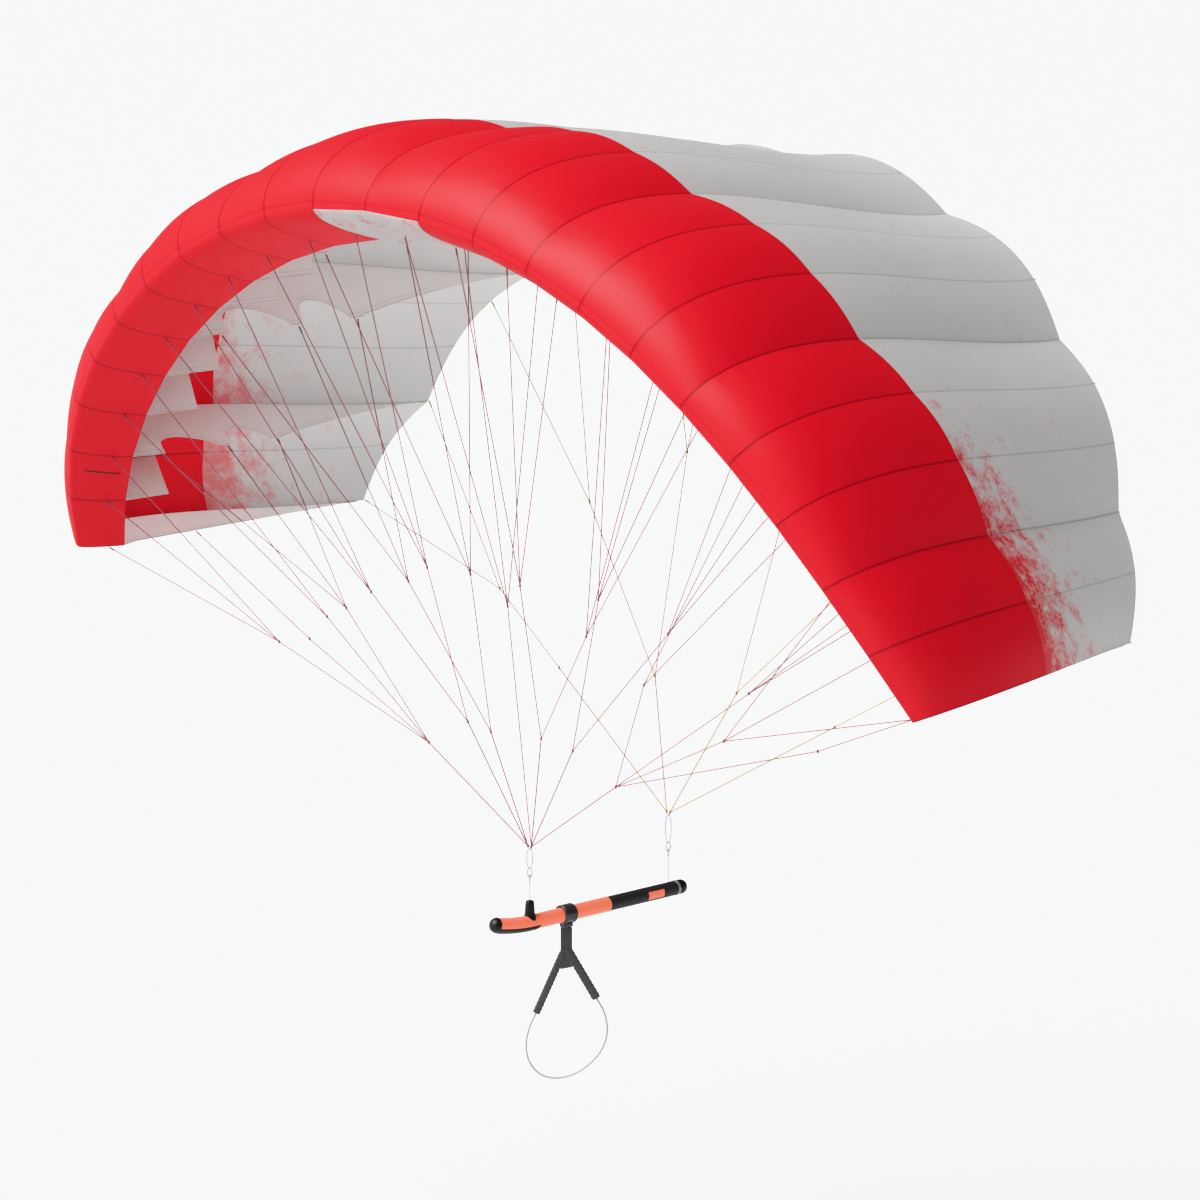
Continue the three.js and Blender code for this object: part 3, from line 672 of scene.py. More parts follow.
def thick_strap(top, foot, width, thickness, sides=40, rows=90):
    """A padded strap between two points in X and Z.

    Its section is the flat oval |x / a| ** 4 + |y / b| ** 4 = 1, carried along a straight line.
    Low ribs cross it, as a cosine of the run, and both its ends are rounded in.
    """
    top, foot = (np.array([point[0], 0, point[1]]) for point in (top, foot))
    length = np.linalg.norm(foot - top)
    down = (foot - top) / length
    across = np.cross([0, 1, 0], down)
    turn = np.arange(sides) * 2 * np.pi / sides
    ease = STRAP_END * np.array([0, 0.15, 0.5, 1])
    run = np.concatenate([ease, np.linspace(0.003, length - 0.003, rows), length - ease[::-1]])
    rim = np.minimum(run, length - run) / STRAP_END
    inset = 0.0012 * (1 - np.sqrt(np.clip(rim * (2 - rim), 0, 1))) * (rim < 1)
    ridge = STRAP_RIDGE * (np.cos(run / STRAP_RIB * 2 * np.pi) - 1) - inset
    grid = top + down * run[:, None, None]
    for wave, size, axis in (
        (np.cos(turn), width, across), (np.sin(turn), thickness, np.array([0, 1, 0])),
    ):
        reach = np.sign(wave) * np.abs(wave) ** 0.5 * size / 2
        raised = ridge[:, None] * np.minimum(1, np.abs(reach) / 0.002)
        grid = grid + axis * (reach + np.sign(reach) * raised)[..., None]
    count = len(run)
    faces = grid_faces(count, sides, wrap=True)[:, ::-1].tolist()
    faces += [list(range(sides)), list(range((count - 1) * sides, count * sides))[::-1]]
    around = np.linspace(0, 2 * (width + thickness), sides)[None, :]
    uv = cut_uv(around, run[:, None])
    return grid.reshape(-1, 3), faces, uv


def stitched(outline, depth, pitch=0.0032, length=0.0021, thread=0.0003):
    """Stitches along a closed outline in X and Z, on both faces: short threads, evenly spaced."""
    path = np.array([*outline, outline[0]])
    run = run_along(path)
    parts = []
    for start in np.arange(0, run[-1] - length, pitch):
        x, z = (np.interp([start, start + length], run, path[:, axis]) for axis in (0, 1))
        parts += [tube(np.stack([x, [face, face], z], -1), thread, 5) for face in (-depth, depth)]
    return parts


def between(t, start, end, first, last):
    """The linear blend that is first at start and last at end."""
    return (end - t) / (end - start) * first + (t - start) / (end - start) * last


def spline(points, count):
    """A smooth path through the points: a centripetal Catmull-Rom curve sampled evenly."""
    points = np.asarray(points, float)
    ends = np.concatenate([[2 * points[0] - points[1]], points, [2 * points[-1] - points[-2]]])
    gaps = np.maximum(np.linalg.norm(np.diff(ends, axis=0), axis=1) ** 0.5, 1e-6)
    knots = np.concatenate([[0], gaps.cumsum()])
    pieces = []
    for i in range(1, len(ends) - 2):
        t = np.linspace(knots[i], knots[i + 1], 24, endpoint=False)[:, None]
        t0, t1, t2, t3 = knots[i - 1 : i + 3]
        a1, a2, a3 = (
            between(t, knots[j], knots[j + 1], ends[j], ends[j + 1]) for j in (i - 1, i, i + 1)
        )
        pieces.append(between(t, t1, t2, between(t, t0, t2, a1, a2), between(t, t1, t3, a2, a3)))
    path = np.concatenate(pieces + [points[-1:]])
    run = run_along(path)
    even = np.linspace(0, run[-1], count)
    return np.stack([np.interp(even, run, path[:, axis]) for axis in range(3)], -1)


class ClothSettings(bpy.types.PropertyGroup):
    """Colours of the canopy."""

    red: FloatVectorProperty(
        name="Front colour", description="Sailcloth of the coloured front, in linear light",
        subtype="COLOR", size=3, min=0, max=1, default=linear("#D82632")[:3],
    )
    seam_width: FloatProperty(
        name="Seam width", description="Half the width of a sewn seam that shows",
        subtype="DISTANCE", unit="LENGTH", min=0.001, max=0.01, default=0.0029,
    )


class LineSettings(bpy.types.PropertyGroup):
    """Sizes of the lines."""

    radius: FloatProperty(
        name="Line radius", description="Half the thickness of a bridle line",
        subtype="DISTANCE", unit="LENGTH", min=0.0003, max=0.003, default=LINE,
    )


class StageSettings(bpy.types.PropertyGroup):
    """Light of the studio."""

    sun: FloatProperty(
        name="Key light", description="Strength of the soft key light", min=0, max=20, default=5.4,
    )
    sky: FloatProperty(
        name="Fill light", description="Strength of the even light from all round",
        min=0, max=5, default=0.46,
    )


class WING_OT_camera(bpy.types.Operator):
    """Set the camera at the photograph's viewpoint"""

    bl_idname = "wing.camera"
    bl_label = "Camera"

    def execute(self, context):
        data = bpy.data.cameras.new("view")
        data.lens = VIEW_LENS
        data.sensor_width = 36.0
        data.clip_end = 500.0
        made = bpy.data.objects.new("view", data)
        made.location = VIEW_PLACE
        made.rotation_euler = Euler((math.pi / 2 - VIEW_ELEVATION, 0, VIEW_AZIMUTH))
        context.scene.collection.objects.link(made)
        context.scene.camera = made
        return {"FINISHED"}


class WING_OT_harness_line(bpy.types.Operator):
    """Hang the harness line between the feet of the two strap legs"""

    bl_idname = "wing.harness_line"
    bl_label = "Harness line"

    def execute(self, context):
        route = np.array([
            (-57.2, -193.2), (-70.2, -222), (-76.2, -258), (-69.2, -290), (-50.2, -312),
            (-24.2, -320), (9.8, -314), (41.8, -294), (65.8, -265), (76.8, -230), (71.8, -194),
            (57.1, -164.6),
        ]) / 1000
        flat = np.stack([route[:, 0], np.zeros(len(route)), route[:, 1]], -1)
        path = spline(hung(flat), 121)
        sheath = braid("Sheathed polyester line", "#A8A7A4", "#969591", pitch=0.003, roughness=0.5)
        shape = tube(path, HARNESS_LINE, 14)
        cord = put("harness_line_cord", shape, sheath, "harness_line")
        length = float(run_along(path)[-1])
        return {"FINISHED"}


BULGES = {
    "left_tip": (-11, -9),
    "left_outer": (-9, -6),
    "left_mid": (-6, -3),
    "left_inner": (-3, 0),
    "right_inner": (0, 3),
    "right_mid": (3, 6),
    "right_outer": (6, 9),
    "right_tip": (9, 11),
}


def skin_panel(node, start, end, low, high, rows, finish, slot):
    """One panel of the skin between two seams and two lines q given as functions of u."""
    u = cell_steps(start, end)[:, None]
    share = np.linspace(0, 1, rows)[None, :]
    u, share = np.broadcast_arrays(u, share)
    q = low(u) + (high(u) - low(u)) * share
    if node.startswith("skin_front"):
        q[:, 1:4] = NOSE_TAPE * np.array([0.5, 1.0, 1.5])
    outer = skin_point(u, q)
    inner = outer - CLOTH * skin_normal(u, q, (start, low(u)), (end, high(u)))
    s, chord = station(u)[:2]
    seam = np.abs(u - np.round(u)) * cell_width(u)
    behind = np.maximum(q * q - colour_line(u) ** 2, 0) * chord
    outward = np.clip((np.abs(u) - SPLASH_FIRST) / SPLASH_CELLS, 0, 1)
    reach = SPLASH_REACH + SPLASH_GROWTH * outward
    splash = outward * np.clip(1 - behind / reach, 0, 1) ** SPLASH_POWER
    if node == "nose_band_centre":
        seam = np.where(np.abs(u) < 0.5, 1.0, seam)
        splash = np.full_like(splash, SPLASH_CENTRE)
    tape = np.minimum(np.abs(q), np.abs(q - NOSE_TAPE)) * chord * LIFT
    seam = np.minimum(seam, tape + TAPE_FAINT)
    steps = np.linalg.norm(np.diff(outer, axis=1), axis=-1)
    run = np.concatenate([np.zeros((len(u), 1)), steps.cumsum(1)], 1)
    uv = cut_uv(np.sign(u) * s * HALF_SPAN, run + chord * low(u) ** 2)
    shape = closed_sheet(outer, inner, uv)
    strength = np.repeat([1.0, SPLASH_INSIDE], seam.size)
    marks = {"seam": seam, "splash": splash, "strength": strength}
    made = put(f"{node}_cloth", shape, finish, node, marks)


def tip_dark_strip():
    """A short dark strip on the lower side of one tip's nose, standing just off the skin.

    It runs forward through q, in the cell between seams 9 and 10 of the left half.
    """
    along, across = np.meshgrid(np.linspace(0, 1, 16), np.linspace(-1, 1, 3), indexing="ij")
    q = -0.332 + 0.168 * along
    u = -9.39 + 0.03 * along + across * TIP_STRIP_HALF / cell_width(9.4)
    normal = skin_normal(u, q, (-10, -1), (-9, 1))
    base = skin_point(u, q)
    uv = cut_uv(across * TIP_STRIP_HALF, along * TIP_STRIP_LENGTH)
    shape = closed_sheet(base + 0.0009 * normal, base + 0.0002 * normal, uv)
    put("tip_dark_strip", shape, woven_strap("Dark woven strip", "#3A3234", "#2A2426"))


class WING_OT_skins(bpy.types.Operator):
    """Sew the canopy's upper skin and the lower skin of its nose"""

    bl_idname = "wing.skins"
    bl_label = "Skins"

    def execute(self, context):
        cloth = context.scene.wing_cloth
        ink = (*cloth.red, 1.0)
        red = sailcloth(
            "Red ripstop sailcloth", ink, through=0.35, tint=RED_TINT, gloss=0.09, polish=0.035,
            seam_and_rim_shade_tone=0.56, seam_width=cloth.seam_width,
        )
        white = sailcloth(
            "Pale ripstop sailcloth", linear("#CECDCC"), through=0.49, tint=CLEAR, gloss=0.38,
            polish=0.01, seam_and_rim_shade_tone=0.78, seam_width=cloth.seam_width * 0.8, speckle=ink,
        )
        zero = lambda u: np.zeros_like(u)
        one = lambda u: np.ones_like(u)
        for name, (start, end) in BULGES.items():
            front = (f"skin_front_{name}", start, end, zero, colour_line)
            back = (f"skin_back_{name}", start, end, colour_line, one)
            skin_panel(*front, SKIN_ROWS, red, "cloth_red")
            skin_panel(*back, SKIN_ROWS, white, "cloth_white")
        foot = lambda u: np.full_like(u, -math.sqrt(BAND_END))
        skin_panel("nose_band_left", -CELLS, -1, foot, zero, BAND_ROWS, red, "cloth_red")
        skin_panel("nose_band_centre", -1, 1, foot, zero, BAND_ROWS, white, "cloth_white")
        skin_panel("nose_band_right", 1, CELLS, foot, zero, BAND_ROWS, red, "cloth_red")
        tip_dark_strip()
        return {"FINISHED"}


def rib_edge(u, q):
    """The skin's curve in the plane of rib u, drawn in by the seam allowance."""
    s, chord = station(u)[:2]
    before, after = q - 0.004, q + 0.004
    rise = chord * (height(after, s) - height(before, s)) + puff(u, after) - puff(u, before)
    run = chord * (after**2 - before**2)
    length = np.hypot(rise, run)
    v = q * q + RIB_INSET * rise / length / chord
    w = chord * height(q, s) + puff(u, q) - RIB_INSET * run / length
    return v, w


def scallop(u, v):
    """Lower edge of a load-bearing rib, with a plain edge on a tip rib.

    It is level up to the second tab and at each tab behind that. Between two of those is an
    arch that goes with share ** 0.3 * (1 - share) ** 0.8, steep in front, and behind the last
    tab is a parabola up to the trailing edge.
    """
    chord = float(station(u)[1])
    v = np.asarray(v, float)
    if abs(u) > CELLS - 1:
        return -0.5 * LOBE * chord * (1 - v)
    tabs = np.array(list(ROWS.values()))
    last = np.minimum(np.searchsorted(tabs + TAB / 2, v), len(tabs) - 1)
    start = tabs[np.maximum(last - 1, 0)] + TAB / 2
    share = np.clip((v - start) / (tabs[last] - TAB / 2 - start), 0, 1)
    arch = chord * (ARCH * share**0.3 * (1 - share) ** 0.8 * 1.55 - LOBE)
    level = (last < 2) | (v > tabs[last] - TAB / 2)
    edge = np.where(level, -LOBE * chord, arch)
    rise = -LOBE * chord * ((1 - v) / (1 - ROWS["d"])) ** 2
    return np.where(v > tabs[-1] + TAB / 2, rise, edge)


def in_rib(u, v, w):
    """Points in the plane of the section at u, at share v of the chord and height w over it."""
    _, chord, out, _, along, nose = station(u)
    return nose + along * (chord * np.asarray(v))[..., None] + out * np.asarray(w)[..., None]


def rib_sheet(node, u, finish):
    """A rib between its top edge under the skin and its lower edge, billowed a little. Painted
    shade darkens its lower rim.
    """
    q = np.linspace(0.012, 1, 500)
    top_v, top_w = rib_edge(u, q)
    chord = float(station(u)[1])
    line = float(colour_line(np.array(u)))
    reach = np.linspace(0.04, 1, 16)
    lower_v, lower_w = rib_edge(u, -math.sqrt(BAND_END) * reach)
    upper_v, upper_w = rib_edge(u, line * reach * 4 / 7)
    bearing = abs(round(u)) in CREASES
    if bearing:
        change = ROWS["c"] - TAB / 2
        marks = [np.linspace(RIB_START, change, 60), np.linspace(change, RIB_END, 90)]
        v = np.unique(np.concatenate(marks))
        edge = scallop(u, v)
        ease = np.minimum(1, (v - lower_v[-1]) / RIB_EASE)
        foot_w = edge * ease + lower_w[-1] * (1 - ease)
        over_w = np.interp(v, top_v, top_w)
        foot_w = np.minimum(foot_w, over_w - RIB_LEAST)
        foot_v, over_v = v, v
    else:
        over_v = np.linspace(upper_v[-1], SHORT_RIB_TOP, 24)[1:]
        foot_v = np.linspace(lower_v[-1], SHORT_RIB_FOOT, 24)[1:]
        over_w = np.interp(over_v, top_v, top_w)
        foot_w = np.full(len(foot_v), lower_w[-1])
    foot = in_rib(u, np.concatenate([lower_v, foot_v]), np.concatenate([lower_w, foot_w]))
    over = in_rib(u, np.concatenate([upper_v, over_v]), np.concatenate([upper_w, over_w]))
    deep = np.linalg.norm(over - foot, axis=-1, keepdims=True)
    hem = np.minimum(RIB_HEM * np.array([0, 0.8, 1.0, 1.2]) / deep, [0, 0.15, 0.2, 0.25])
    rest = hem[:, -1:] + (1 - hem[:, -1:]) * np.linspace(0, 1, 6)[1:]
    rise = np.concatenate([hem, rest], 1)[..., None]
    grid = foot[:, None] * (1 - rise) + over[:, None] * rise
    span = station(u)[3]
    run = np.linspace(0, 1, len(grid))[:, None]
    billow = RIB_BILLOW * np.sin(np.pi * rise[..., 0]) * np.sin(14 * run + 1.7 * u)
    grid = grid + span * billow[..., None]
    side = -1 if u < 0 else 1
    outer = grid - side * span * RIB_CLOTH / 2
    inner = grid + side * span * RIB_CLOTH / 2
    depth = np.linalg.norm(grid - foot[:, None], axis=-1)
    # Painted shade: depth zero at the lower rim counts as a seam, so the thin lit wall along the
    # rib's lower edge is darkened to the face's tone. The hem line at RIB_HEM is a real seam.
    seam = np.minimum(np.abs(depth - RIB_HEM), depth)
    shape = closed_sheet(outer, inner, cut_uv(run * chord, depth))
    made = put(f"{node}_cloth", shape, finish, node, {"seam": seam})


class WING_OT_ribs(bpy.types.Operator):
    """Cut the ribs under the skin"""

    bl_idname = "wing.ribs"
    bl_label = "Ribs"

    def execute(self, context):
        # The rib cloth is paler than the skin's pale cloth. This is painted light, which brightens
        # the ribs in the shade under the canopy.
        cloth = sailcloth(
            "Rib cloth lightened with painted light", linear("#F0EEED"), through=0.50, tint=CLEAR, gloss=0.38,
            polish=0.01, seam_and_rim_shade_tone=0.80, seam_width=0.0012,
        )
        for seam in range(-CELLS, CELLS + 1):
            side = "left" if seam < 0 else "right"
            node = "rib_00" if seam == 0 else f"rib_{side}_{abs(seam):02d}"
            u = seam * (1 - 0.0006) if abs(seam) == CELLS else seam
            rib_sheet(node, float(u), cloth)
        return {"FINISHED"}


# One side's lines in groups: their tabs, by row and seam, the share of the way to the node at
# which they meet in a knot, and the trunk that the knot hangs on. A trunk has such a share too.
FRONT_GROUPS = [
    ("a1 a2 a3", 0.53, 0),
    ("a4 a5 a6", 0.53, 0),
    ("a7 a8", 0.5, 1),
    ("a9 a10 a11", 0.42, 1),
    ("b3 c3 d3", 0.55, 2),
    ("b6 c6 d6", 0.5, 2),
    ("b9 c9 d9", 0.42, 1),
    ("c11", 0.36, 1),
]
FRONT_TRUNKS = [0.78, 0.74, 0.8]
BRAKE_GROUPS = [("z1 z3", 0.45, 0), ("z5 z7", 0.45, 0), ("z9 z11", 0.4, 1)]
BRAKE_TRUNKS = [0.78, 0.62]
TAB_CLEAR = 0.0032


def line_start(u, row):
    """Where a line of the given row leaves rib u, just clear of the cloth."""
    s, chord = (float(value) for value in station(u)[:2])
    v = ROWS[row]
    if row == "a":
        w = chord * float(height(-math.sqrt(v), s))
    else:
        w = float(scallop(u, v))
    return in_rib(float(u), v, w - TAB_CLEAR)


def tail_start(u):
    """Where a brake line leaves the trailing edge at u."""
    along = station(u)[4]
    return in_rib(float(u), 1.0, float(puff(float(u), 1.0))) + along * 0.0035


def stretch(start, end, radius):
    """A taut line from one point to the other."""
    share = np.linspace(0, 1, 2)[:, None]
    return tube(start + (end - start) * share, radius, 8)


def sewn_line(start, end, radius):
    """A taut line whose first stretch is a sewn, thicker end loop."""
    length = np.linalg.norm(end - start)
    marks = np.array([0, 0.001, LINE_END_LENGTH, LINE_END_LENGTH + 0.002, length])
    path = start + (end - start) * (marks / length)[:, None]
    return tube(path, np.array([LINE_END * 0.6, LINE_END, LINE_END, radius, radius]), 8)


def line_tree(groups, trunks, starts, node, radius):
    """One side's lines: from the tabs to each group's knot, to its trunk's knot, to the node."""
    parts = [bead(node, KNOT)]
    for trunk, share in enumerate(trunks):
        members = [
            (np.array([starts(tab[0], int(tab[1:])) for tab in tabs.split()]), way)
            for tabs, way, joined in groups if joined == trunk
        ]
        tops = np.concatenate([points for points, _ in members])
        low = tops.mean(0) + (node - tops.mean(0)) * share
        parts += [bead(low, KNOT), stretch(low, node, radius * 1.15)]
        for points, way in members:
            knot = points.mean(0) + (node - points.mean(0)) * way
            parts += [bead(knot, KNOT), stretch(knot, low, radius)]
            parts += [sewn_line(point, knot, radius) for point in points]
    return parts


class WING_OT_lines(bpy.types.Operator):
    """Rig the bridle and the brake lines"""

    bl_idname = "wing.lines"
    bl_label = "Lines"

    def execute(self, context):
        radius = context.scene.wing_lines.radius
        dark = braid("Dark red braided line", "#A0606A", "#74444A", pitch=0.004, roughness=0.6)
        gold = braid("Tan braided line", "#B99A62", "#8A6A45", pitch=0.004, roughness=0.6)
        for name, side in (("left", -1), ("right", 1)):
            spread = np.array([side * NODE_SPREAD, 0, 0])
            front = FRONT_NODE + spread
            rear = REAR_NODE + spread
            start = lambda row, seam: line_start(side * seam, row)
            lines = line_tree(FRONT_GROUPS, FRONT_TRUNKS, start, front, radius)
            if side > 0:
                middle = np.array([line_start(0, row) for row in "abc"])
                knot = middle.mean(0) * 0.4 + front * 0.6
                lines += [bead(knot, KNOT), stretch(knot, front, radius)]
                lines += [sewn_line(point, knot, radius) for point in middle]
            tail = lambda row, seam: tail_start(side * seam)
            brakes = line_tree(BRAKE_GROUPS, BRAKE_TRUNKS, tail, rear, radius)
            for node, parts, finish, slot in (
                (f"bridle_{name}", lines, dark, "line_dark"),
                (f"brake_lines_{name}", brakes, gold, "line_gold"),
            ):
                put(f"{node}_rig", gather(parts), finish, node, sharp=60)
        return {"FINISHED"}


def oval(centre, half_width, half_height, radius):
    """A closed loop of line, standing upright across the view of the swivelled harness."""
    angle = np.arange(48) * 2 * np.pi / 48
    path = np.stack([half_width * np.cos(angle), 0 * angle, half_height * np.sin(angle)], -1)
    return tube(swivelled(path) + centre, radius, 8, closed=True)


class WING_OT_leaders(bpy.types.Operator):
    """Tie the two leaders between the nodes and the bar"""

    bl_idname = "wing.leaders"
    bl_label = "Leaders"

    def execute(self, context):
        finish = braid("Pale leader line", "#B9BEC6", "#8D939C", pitch=0.004, roughness=0.42)
        for node, top, foot_z, drop in (
            ("leader_front", FRONT_NODE, 0.0429, 0.020),
            ("leader_rear", REAR_NODE, GRIP + 0.0004, 0.029),
        ):
            upper = np.array([0, top[1], top[2] - 0.0032 - drop])
            lower = upper - [0, 0, drop + 0.007]
            start = upper - [0, 0, drop + 0.014]
            foot = np.array([0, top[1], foot_z])
            parts = [
                oval(upper, 0.0055, drop - 0.001, LEADER * 0.8),
                oval(lower, 0.0042, 0.0092, LEADER * 0.8),
                stretch(start, foot, LEADER * 0.7),
                stretch(start + [0, 0, 0.004], start - [0, 0, 0.012], LEADER * 1.1),
            ]
            put(f"{node}_line", gather(parts), finish, node, sharp=60)
        return {"FINISHED"}


def along_bar(profile, sides=64):
    """A round piece on the bar: (place, radius) rows turned about the bar's axis."""
    points, faces, uv = turned(profile, sides)
    return on_bar(points), [face[::-1] for face in faces], uv


def rows_from(start, profile):
    """Rows of (place, radius) in metres, from places after start and radii in millimetres."""
    return [(start + place / 1000, radius / 1000) for place, radius in profile]


def eased(start, end, radius, edge, count=24):
    """Rows of a straight grip with rounded ends."""
    turn = np.linspace(0, np.pi / 2, 5)
    inward = edge * (1 - np.cos(turn))
    lift = radius - edge + edge * np.sin(turn)
    rise = np.stack([start + inward, lift], -1)
    middle = np.stack([np.linspace(start + edge, end - edge, count), np.full(count, radius)], -1)
    fall = np.stack([end - inward, lift], -1)[::-1]
    return np.concatenate([rise[:-1], middle, fall[1:]])


def hugging(y0, y1, half_angle, towards, inner, outer, rows=20, columns=28):
    """A shell on the bar between two places and round an angle, with a thin rounded rim."""
    y, a = np.meshgrid(np.linspace(0, 1, rows), np.linspace(-1, 1, columns), indexing="ij")
    angle = towards + half_angle * a
    place = y0 + (y1 - y0) * y
    rim = np.clip((1 - np.abs(a)) / 0.12, 0, 1) * np.clip((0.5 - np.abs(y - 0.5)) / 0.08, 0, 1)
    top = inner + 0.0003 + (outer - inner - 0.0003) * np.sqrt(rim)
    grids = (
        on_bar(np.stack([radius * np.cos(angle), radius * np.sin(angle), place], -1))
        for radius in (top, inner)
    )
    return closed_sheet(*grids, cut_uv(angle, place))


class WING_OT_bar(bpy.types.Operator):
    """Turn the bar with its grips, caps and knob"""

    bl_idname = "wing.bar"
    bl_label = "Bar"

    def execute(self, context):
        coral = moulded("Coral moulded foam grip", "#FF8A6A", "#FA8062", roughness=0.62)
        dark = moulded("Black moulded foam grip", "#323232", "#2A2A2A", roughness=0.62)
        hard = moulded(
            "Black moulded nylon", "#121212", "#0D0D0D", 0.45, grain=FINE, depth=0.00006,
        )
        grey = moulded(
            "Grey anodised ring", "#8F9296", "#7E8185", 0.35, grain=FINE, depth=0.00003,
            metallic=0.6,
        )
        down = -math.pi / 2
        cap = rows_from(BAR_FRONT, [
            (0, 0.6), (0.6, 4.5), (2, 8.2), (4.5, 11.6), (8, 13.8), (11.5, 14.8), (12.5, 15),
            (13.5, 14.6),
        ])
        shoe = hugging(BAR_CAP - 0.004, BAR_SHOE, 1.25, down, GRIP - 0.0002, 0.0157, 40)
        tail = rows_from(BAR_RING_END, [
            (0, 13.8), (1, 14.3), (13, 13.9), (18, 11.6), (20.8, 8.6), (22.4, 4.7), (23, 0.8),
        ])
        ring = rows_from(BAR_RING, [(0, 13.8), (0.6, 14.7), (5.4, 14.7), (6, 13.8)])
        front = eased(BAR_CAP, BAR_CHANGE, GRIP, 0.0008, 90)
        rear = eased(BAR_CHANGE, BAR_RING, GRIP, 0.0008)
        for node, parts, finish, slot in (
            ("bar_nose", [along_bar(cap), shoe], hard, "hard_black"),
            ("grip_front", [along_bar(front)], coral, "grip_coral"),
            ("grip_rear", [along_bar(rear)], dark, "grip_black"),
            ("bar_ring", [along_bar(ring)], grey, "ring_grey"),
            ("bar_tail", [along_bar(tail)], hard, "hard_black"),
        ):
            put(f"{node}_piece", gather(parts), finish, node)
        profile = rows_from(0.004, [
            (0, 13), (5, 12.6), (7.5, 11.7), (10, 10.7), (13, 10), (16, 9.5), (30, 8.6), (36, 8),
            (37.6, 7.2), (38.4, 5.8), (38.5, 3), (38, 1.8), (37.2, 1),
        ])
        knob = turned(profile, 48, (0, FRONT_NODE[1], 0))
        put("leader_knob_piece", knob, hard, "leader_knob")
        patch = hugging(0.1955, 0.2365, 0.55, 0, GRIP - 0.0002, GRIP + 0.00035)
        put("grip_patch", patch, coral)
        return {"FINISHED"}


class WING_OT_harness(bpy.types.Operator):
    """Fit the sliding ring, the strap, the yoke and the two legs"""

    bl_idname = "wing.harness"
    bl_label = "Harness straps"

    def execute(self, context):
        hard = moulded("Black moulded ring", "#3A3B3D", "#2C2D30", 0.26, grain=FINE, depth=0.00005)
        strap = woven_strap("Black polyester webbing", "#4E4E4E", "#383838")
        thread = braid("Grey bonded thread", "#8E8E8E", "#7A7A7A", pitch=0.002, roughness=0.6)
        half = [
            (0.2, 17.6), (8, 17.6), (9.2, 18.6), (11.5, 19), (13.2, 18.6), (14.6, 16.6), (15, 15),
        ]
        ring = rows_from(RING_AT, [(-place, radius) for place, radius in half[::-1]] + half)
        crown = hugging(RING_AT - 0.0135, RING_AT + 0.0135, 0.75, math.pi / 2, 0.0172, 0.0188)
        eye = [(-0.011, -0.0252), (0.011, -0.0252), (0.011, -0.0165), (-0.011, -0.0165)]
        points, faces, uv = cushioned(rounded(eye, 0.003), 0.016, 0.002)
        eye = (points[:, [1, 0, 2]] + [0, RING_AT, 0], [face[::-1] for face in faces], uv)
        shape = gather([along_bar(ring), crown, eye])
        put("slider_ring_piece", shape, hard, "slider_ring")

        foot = YOKE_TOP - 0.004
        neck = [
            (-NECK_HALF, STRAP_TOP), (-NECK_HALF, foot), (NECK_HALF, foot), (NECK_HALF, STRAP_TOP),
        ]
        yoke = [
            (-YOKE_HALF, YOKE_TOP), (-YOKE_HALF, YOKE_LEFT), (YOKE_HALF, YOKE_RIGHT),
            (YOKE_HALF, YOKE_TOP),
        ]
        left = ((-0.0066, -0.0759), (-0.057, -0.1927), 0.0148)
        right = ((0.0041, -0.0718), (0.0568, -0.164), 0.017)
        pieces = {
            "strap_neck": cushioned(rounded(neck, 0.0012), NECK_THICKNESS, 0.0012),
            "strap_yoke": cushioned(rounded(yoke, 0.002), YOKE_THICKNESS, 0.002),
            "strap_leg_left": thick_strap(*left, LEG_THICKNESS),
            "strap_leg_right": thick_strap(*right, LEG_THICKNESS),
        }
        for node, (points, faces, uv) in pieces.items():
            put(f"{node}_webbing", (hung(points), faces, uv), strap, node)
        middle = np.mean(yoke, 0)
        box = middle + (np.array(yoke) - middle) * [0.74, 0.86]
        points, faces, uv = gather(stitched(box, YOKE_THICKNESS / 2))
        put("strap_yoke_stitches", (hung(points), faces, uv), thread)
        return {"FINISHED"}


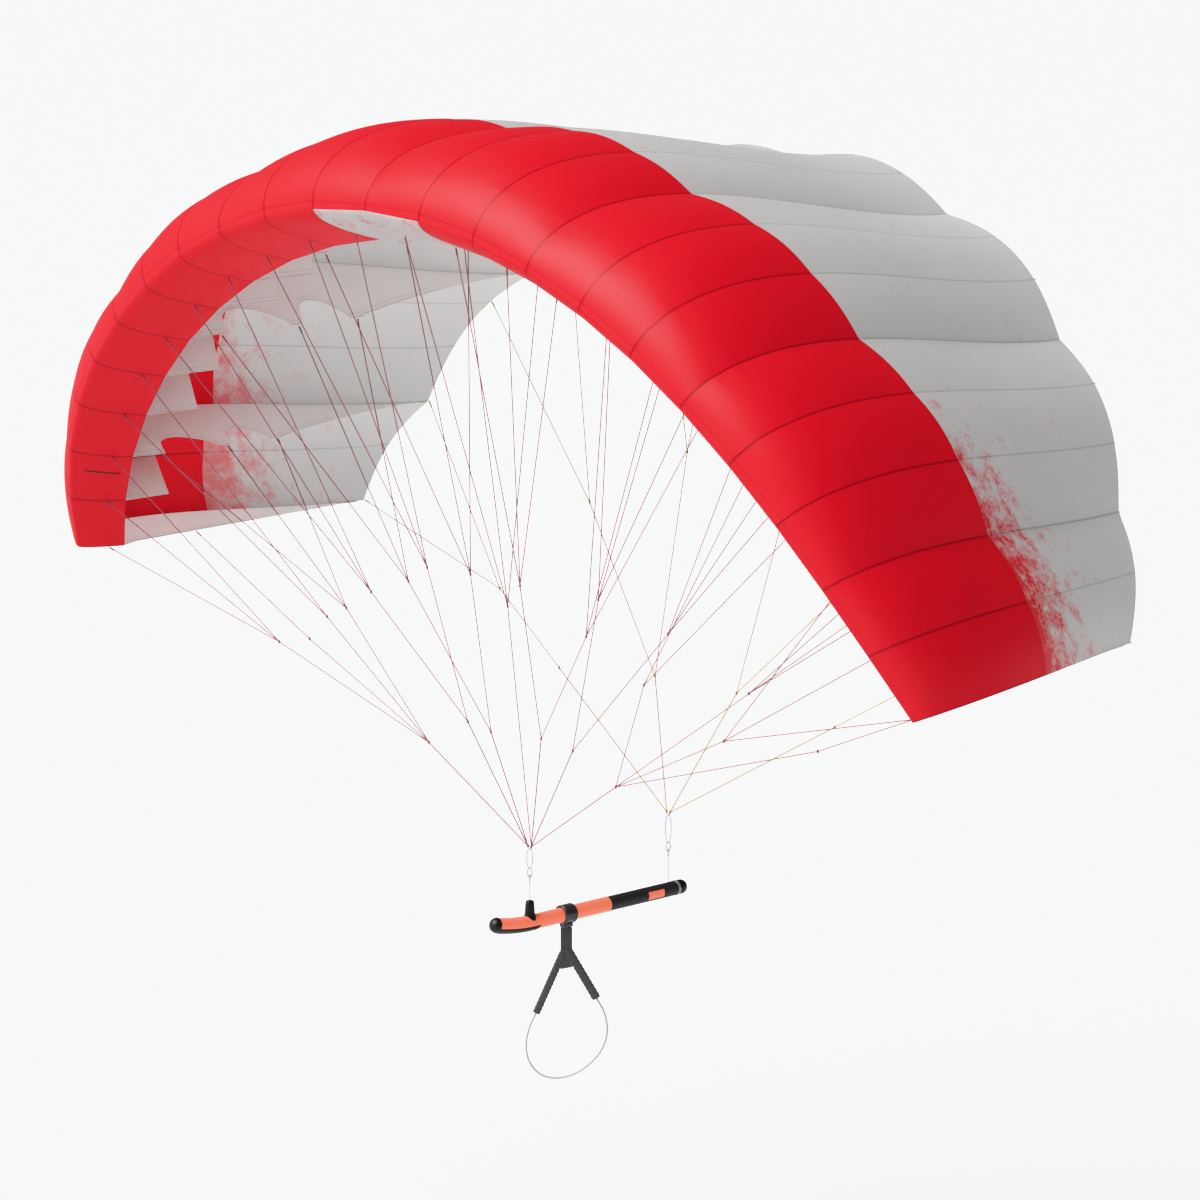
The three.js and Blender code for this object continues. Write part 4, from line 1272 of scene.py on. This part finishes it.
class WING_OT_stage(bpy.types.Operator):
    """Lay the pale floor and light the studio softly"""

    bl_idname = "wing.stage"
    bl_label = "Stage"

    def execute(self, context):
        settings = context.scene.wing_stage
        context.scene.view_settings.view_transform = "Khronos PBR Neutral"
        mesh = bpy.data.meshes.new("floor")
        angle = np.arange(96) * 2 * np.pi / 96
        rim = np.stack([
            FLOOR_RADIUS * np.cos(angle), FLOOR_RADIUS * np.sin(angle), np.full(96, FLOOR_Z),
        ], -1)
        mesh.from_pydata(rim.tolist(), [], [list(range(96))])
        paper, add = new_material("Pale matt floor paint")
        place = add("TexCoord")
        grain = add("TexNoise", {"Vector": place.outputs["Object"], "Scale": 30.0})
        tone = add("Mix", {
            0: grain.outputs["Fac"], 6: linear("#FCFCFC"), 7: linear("#FAFAFA"),
        }, data_type="RGBA")
        face = add("BsdfPrincipled", {"Base Color": tone.outputs[2], "Roughness": 0.9})
        add("OutputMaterial", [face.outputs[0]])
        mesh.materials.append(paper)
        floor = bpy.data.objects.new("floor", mesh)
        context.scene.collection.objects.link(floor)

        world = bpy.data.worlds.new("studio")
        world.use_nodes = True
        back = world.node_tree.nodes["Background"]
        back.inputs["Color"].default_value = (0.96, 0.98, 1.0, 1)
        back.inputs["Strength"].default_value = settings.sky
        context.scene.world = world
        data = bpy.data.lights.new("key", "SUN")
        data.energy = settings.sun
        data.angle = KEY_SPREAD
        key = bpy.data.objects.new("key", data)
        key.rotation_euler = Euler(KEY_TURN)
        context.scene.collection.objects.link(key)
        return {"FINISHED"}


STEPS = (
    WING_OT_camera,
    WING_OT_harness_line,
    WING_OT_skins,
    WING_OT_ribs,
    WING_OT_lines,
    WING_OT_leaders,
    WING_OT_bar,
    WING_OT_harness,
    WING_OT_stage,
)


class WING_PT_panel(bpy.types.Panel):
    """The wing's sizes and steps"""

    bl_label = "Soft Wing"
    bl_idname = "WING_PT_panel"
    bl_space_type = "VIEW_3D"
    bl_region_type = "UI"
    bl_category = "Soft Wing"

    def draw(self, context):
        layout = self.layout
        for label, cls in GROUPS.items():
            for name in cls.__annotations__:
                layout.prop(getattr(context.scene, label), name)
        for step in STEPS:
            layout.operator(step.bl_idname)


GROUPS = {"wing_cloth": ClothSettings, "wing_lines": LineSettings, "wing_stage": StageSettings}


def register():
    for cls in (*GROUPS.values(), *STEPS, WING_PT_panel):
        bpy.utils.register_class(cls)
    for name, cls in GROUPS.items():
        setattr(bpy.types.Scene, name, PointerProperty(type=cls))


def unregister():
    for name in GROUPS:
        delattr(bpy.types.Scene, name)
    for cls in reversed((*GROUPS.values(), *STEPS, WING_PT_panel)):
        bpy.utils.unregister_class(cls)


def main():
    register()
    bpy.ops.wing.camera()
    bpy.ops.wing.harness_line()
    bpy.ops.wing.skins()
    bpy.ops.wing.ribs()
    bpy.ops.wing.lines()
    bpy.ops.wing.leaders()
    bpy.ops.wing.bar()
    bpy.ops.wing.harness()
    bpy.ops.wing.stage()
    bpy.context.view_layer.update()


if __name__ == "__main__":
    main()
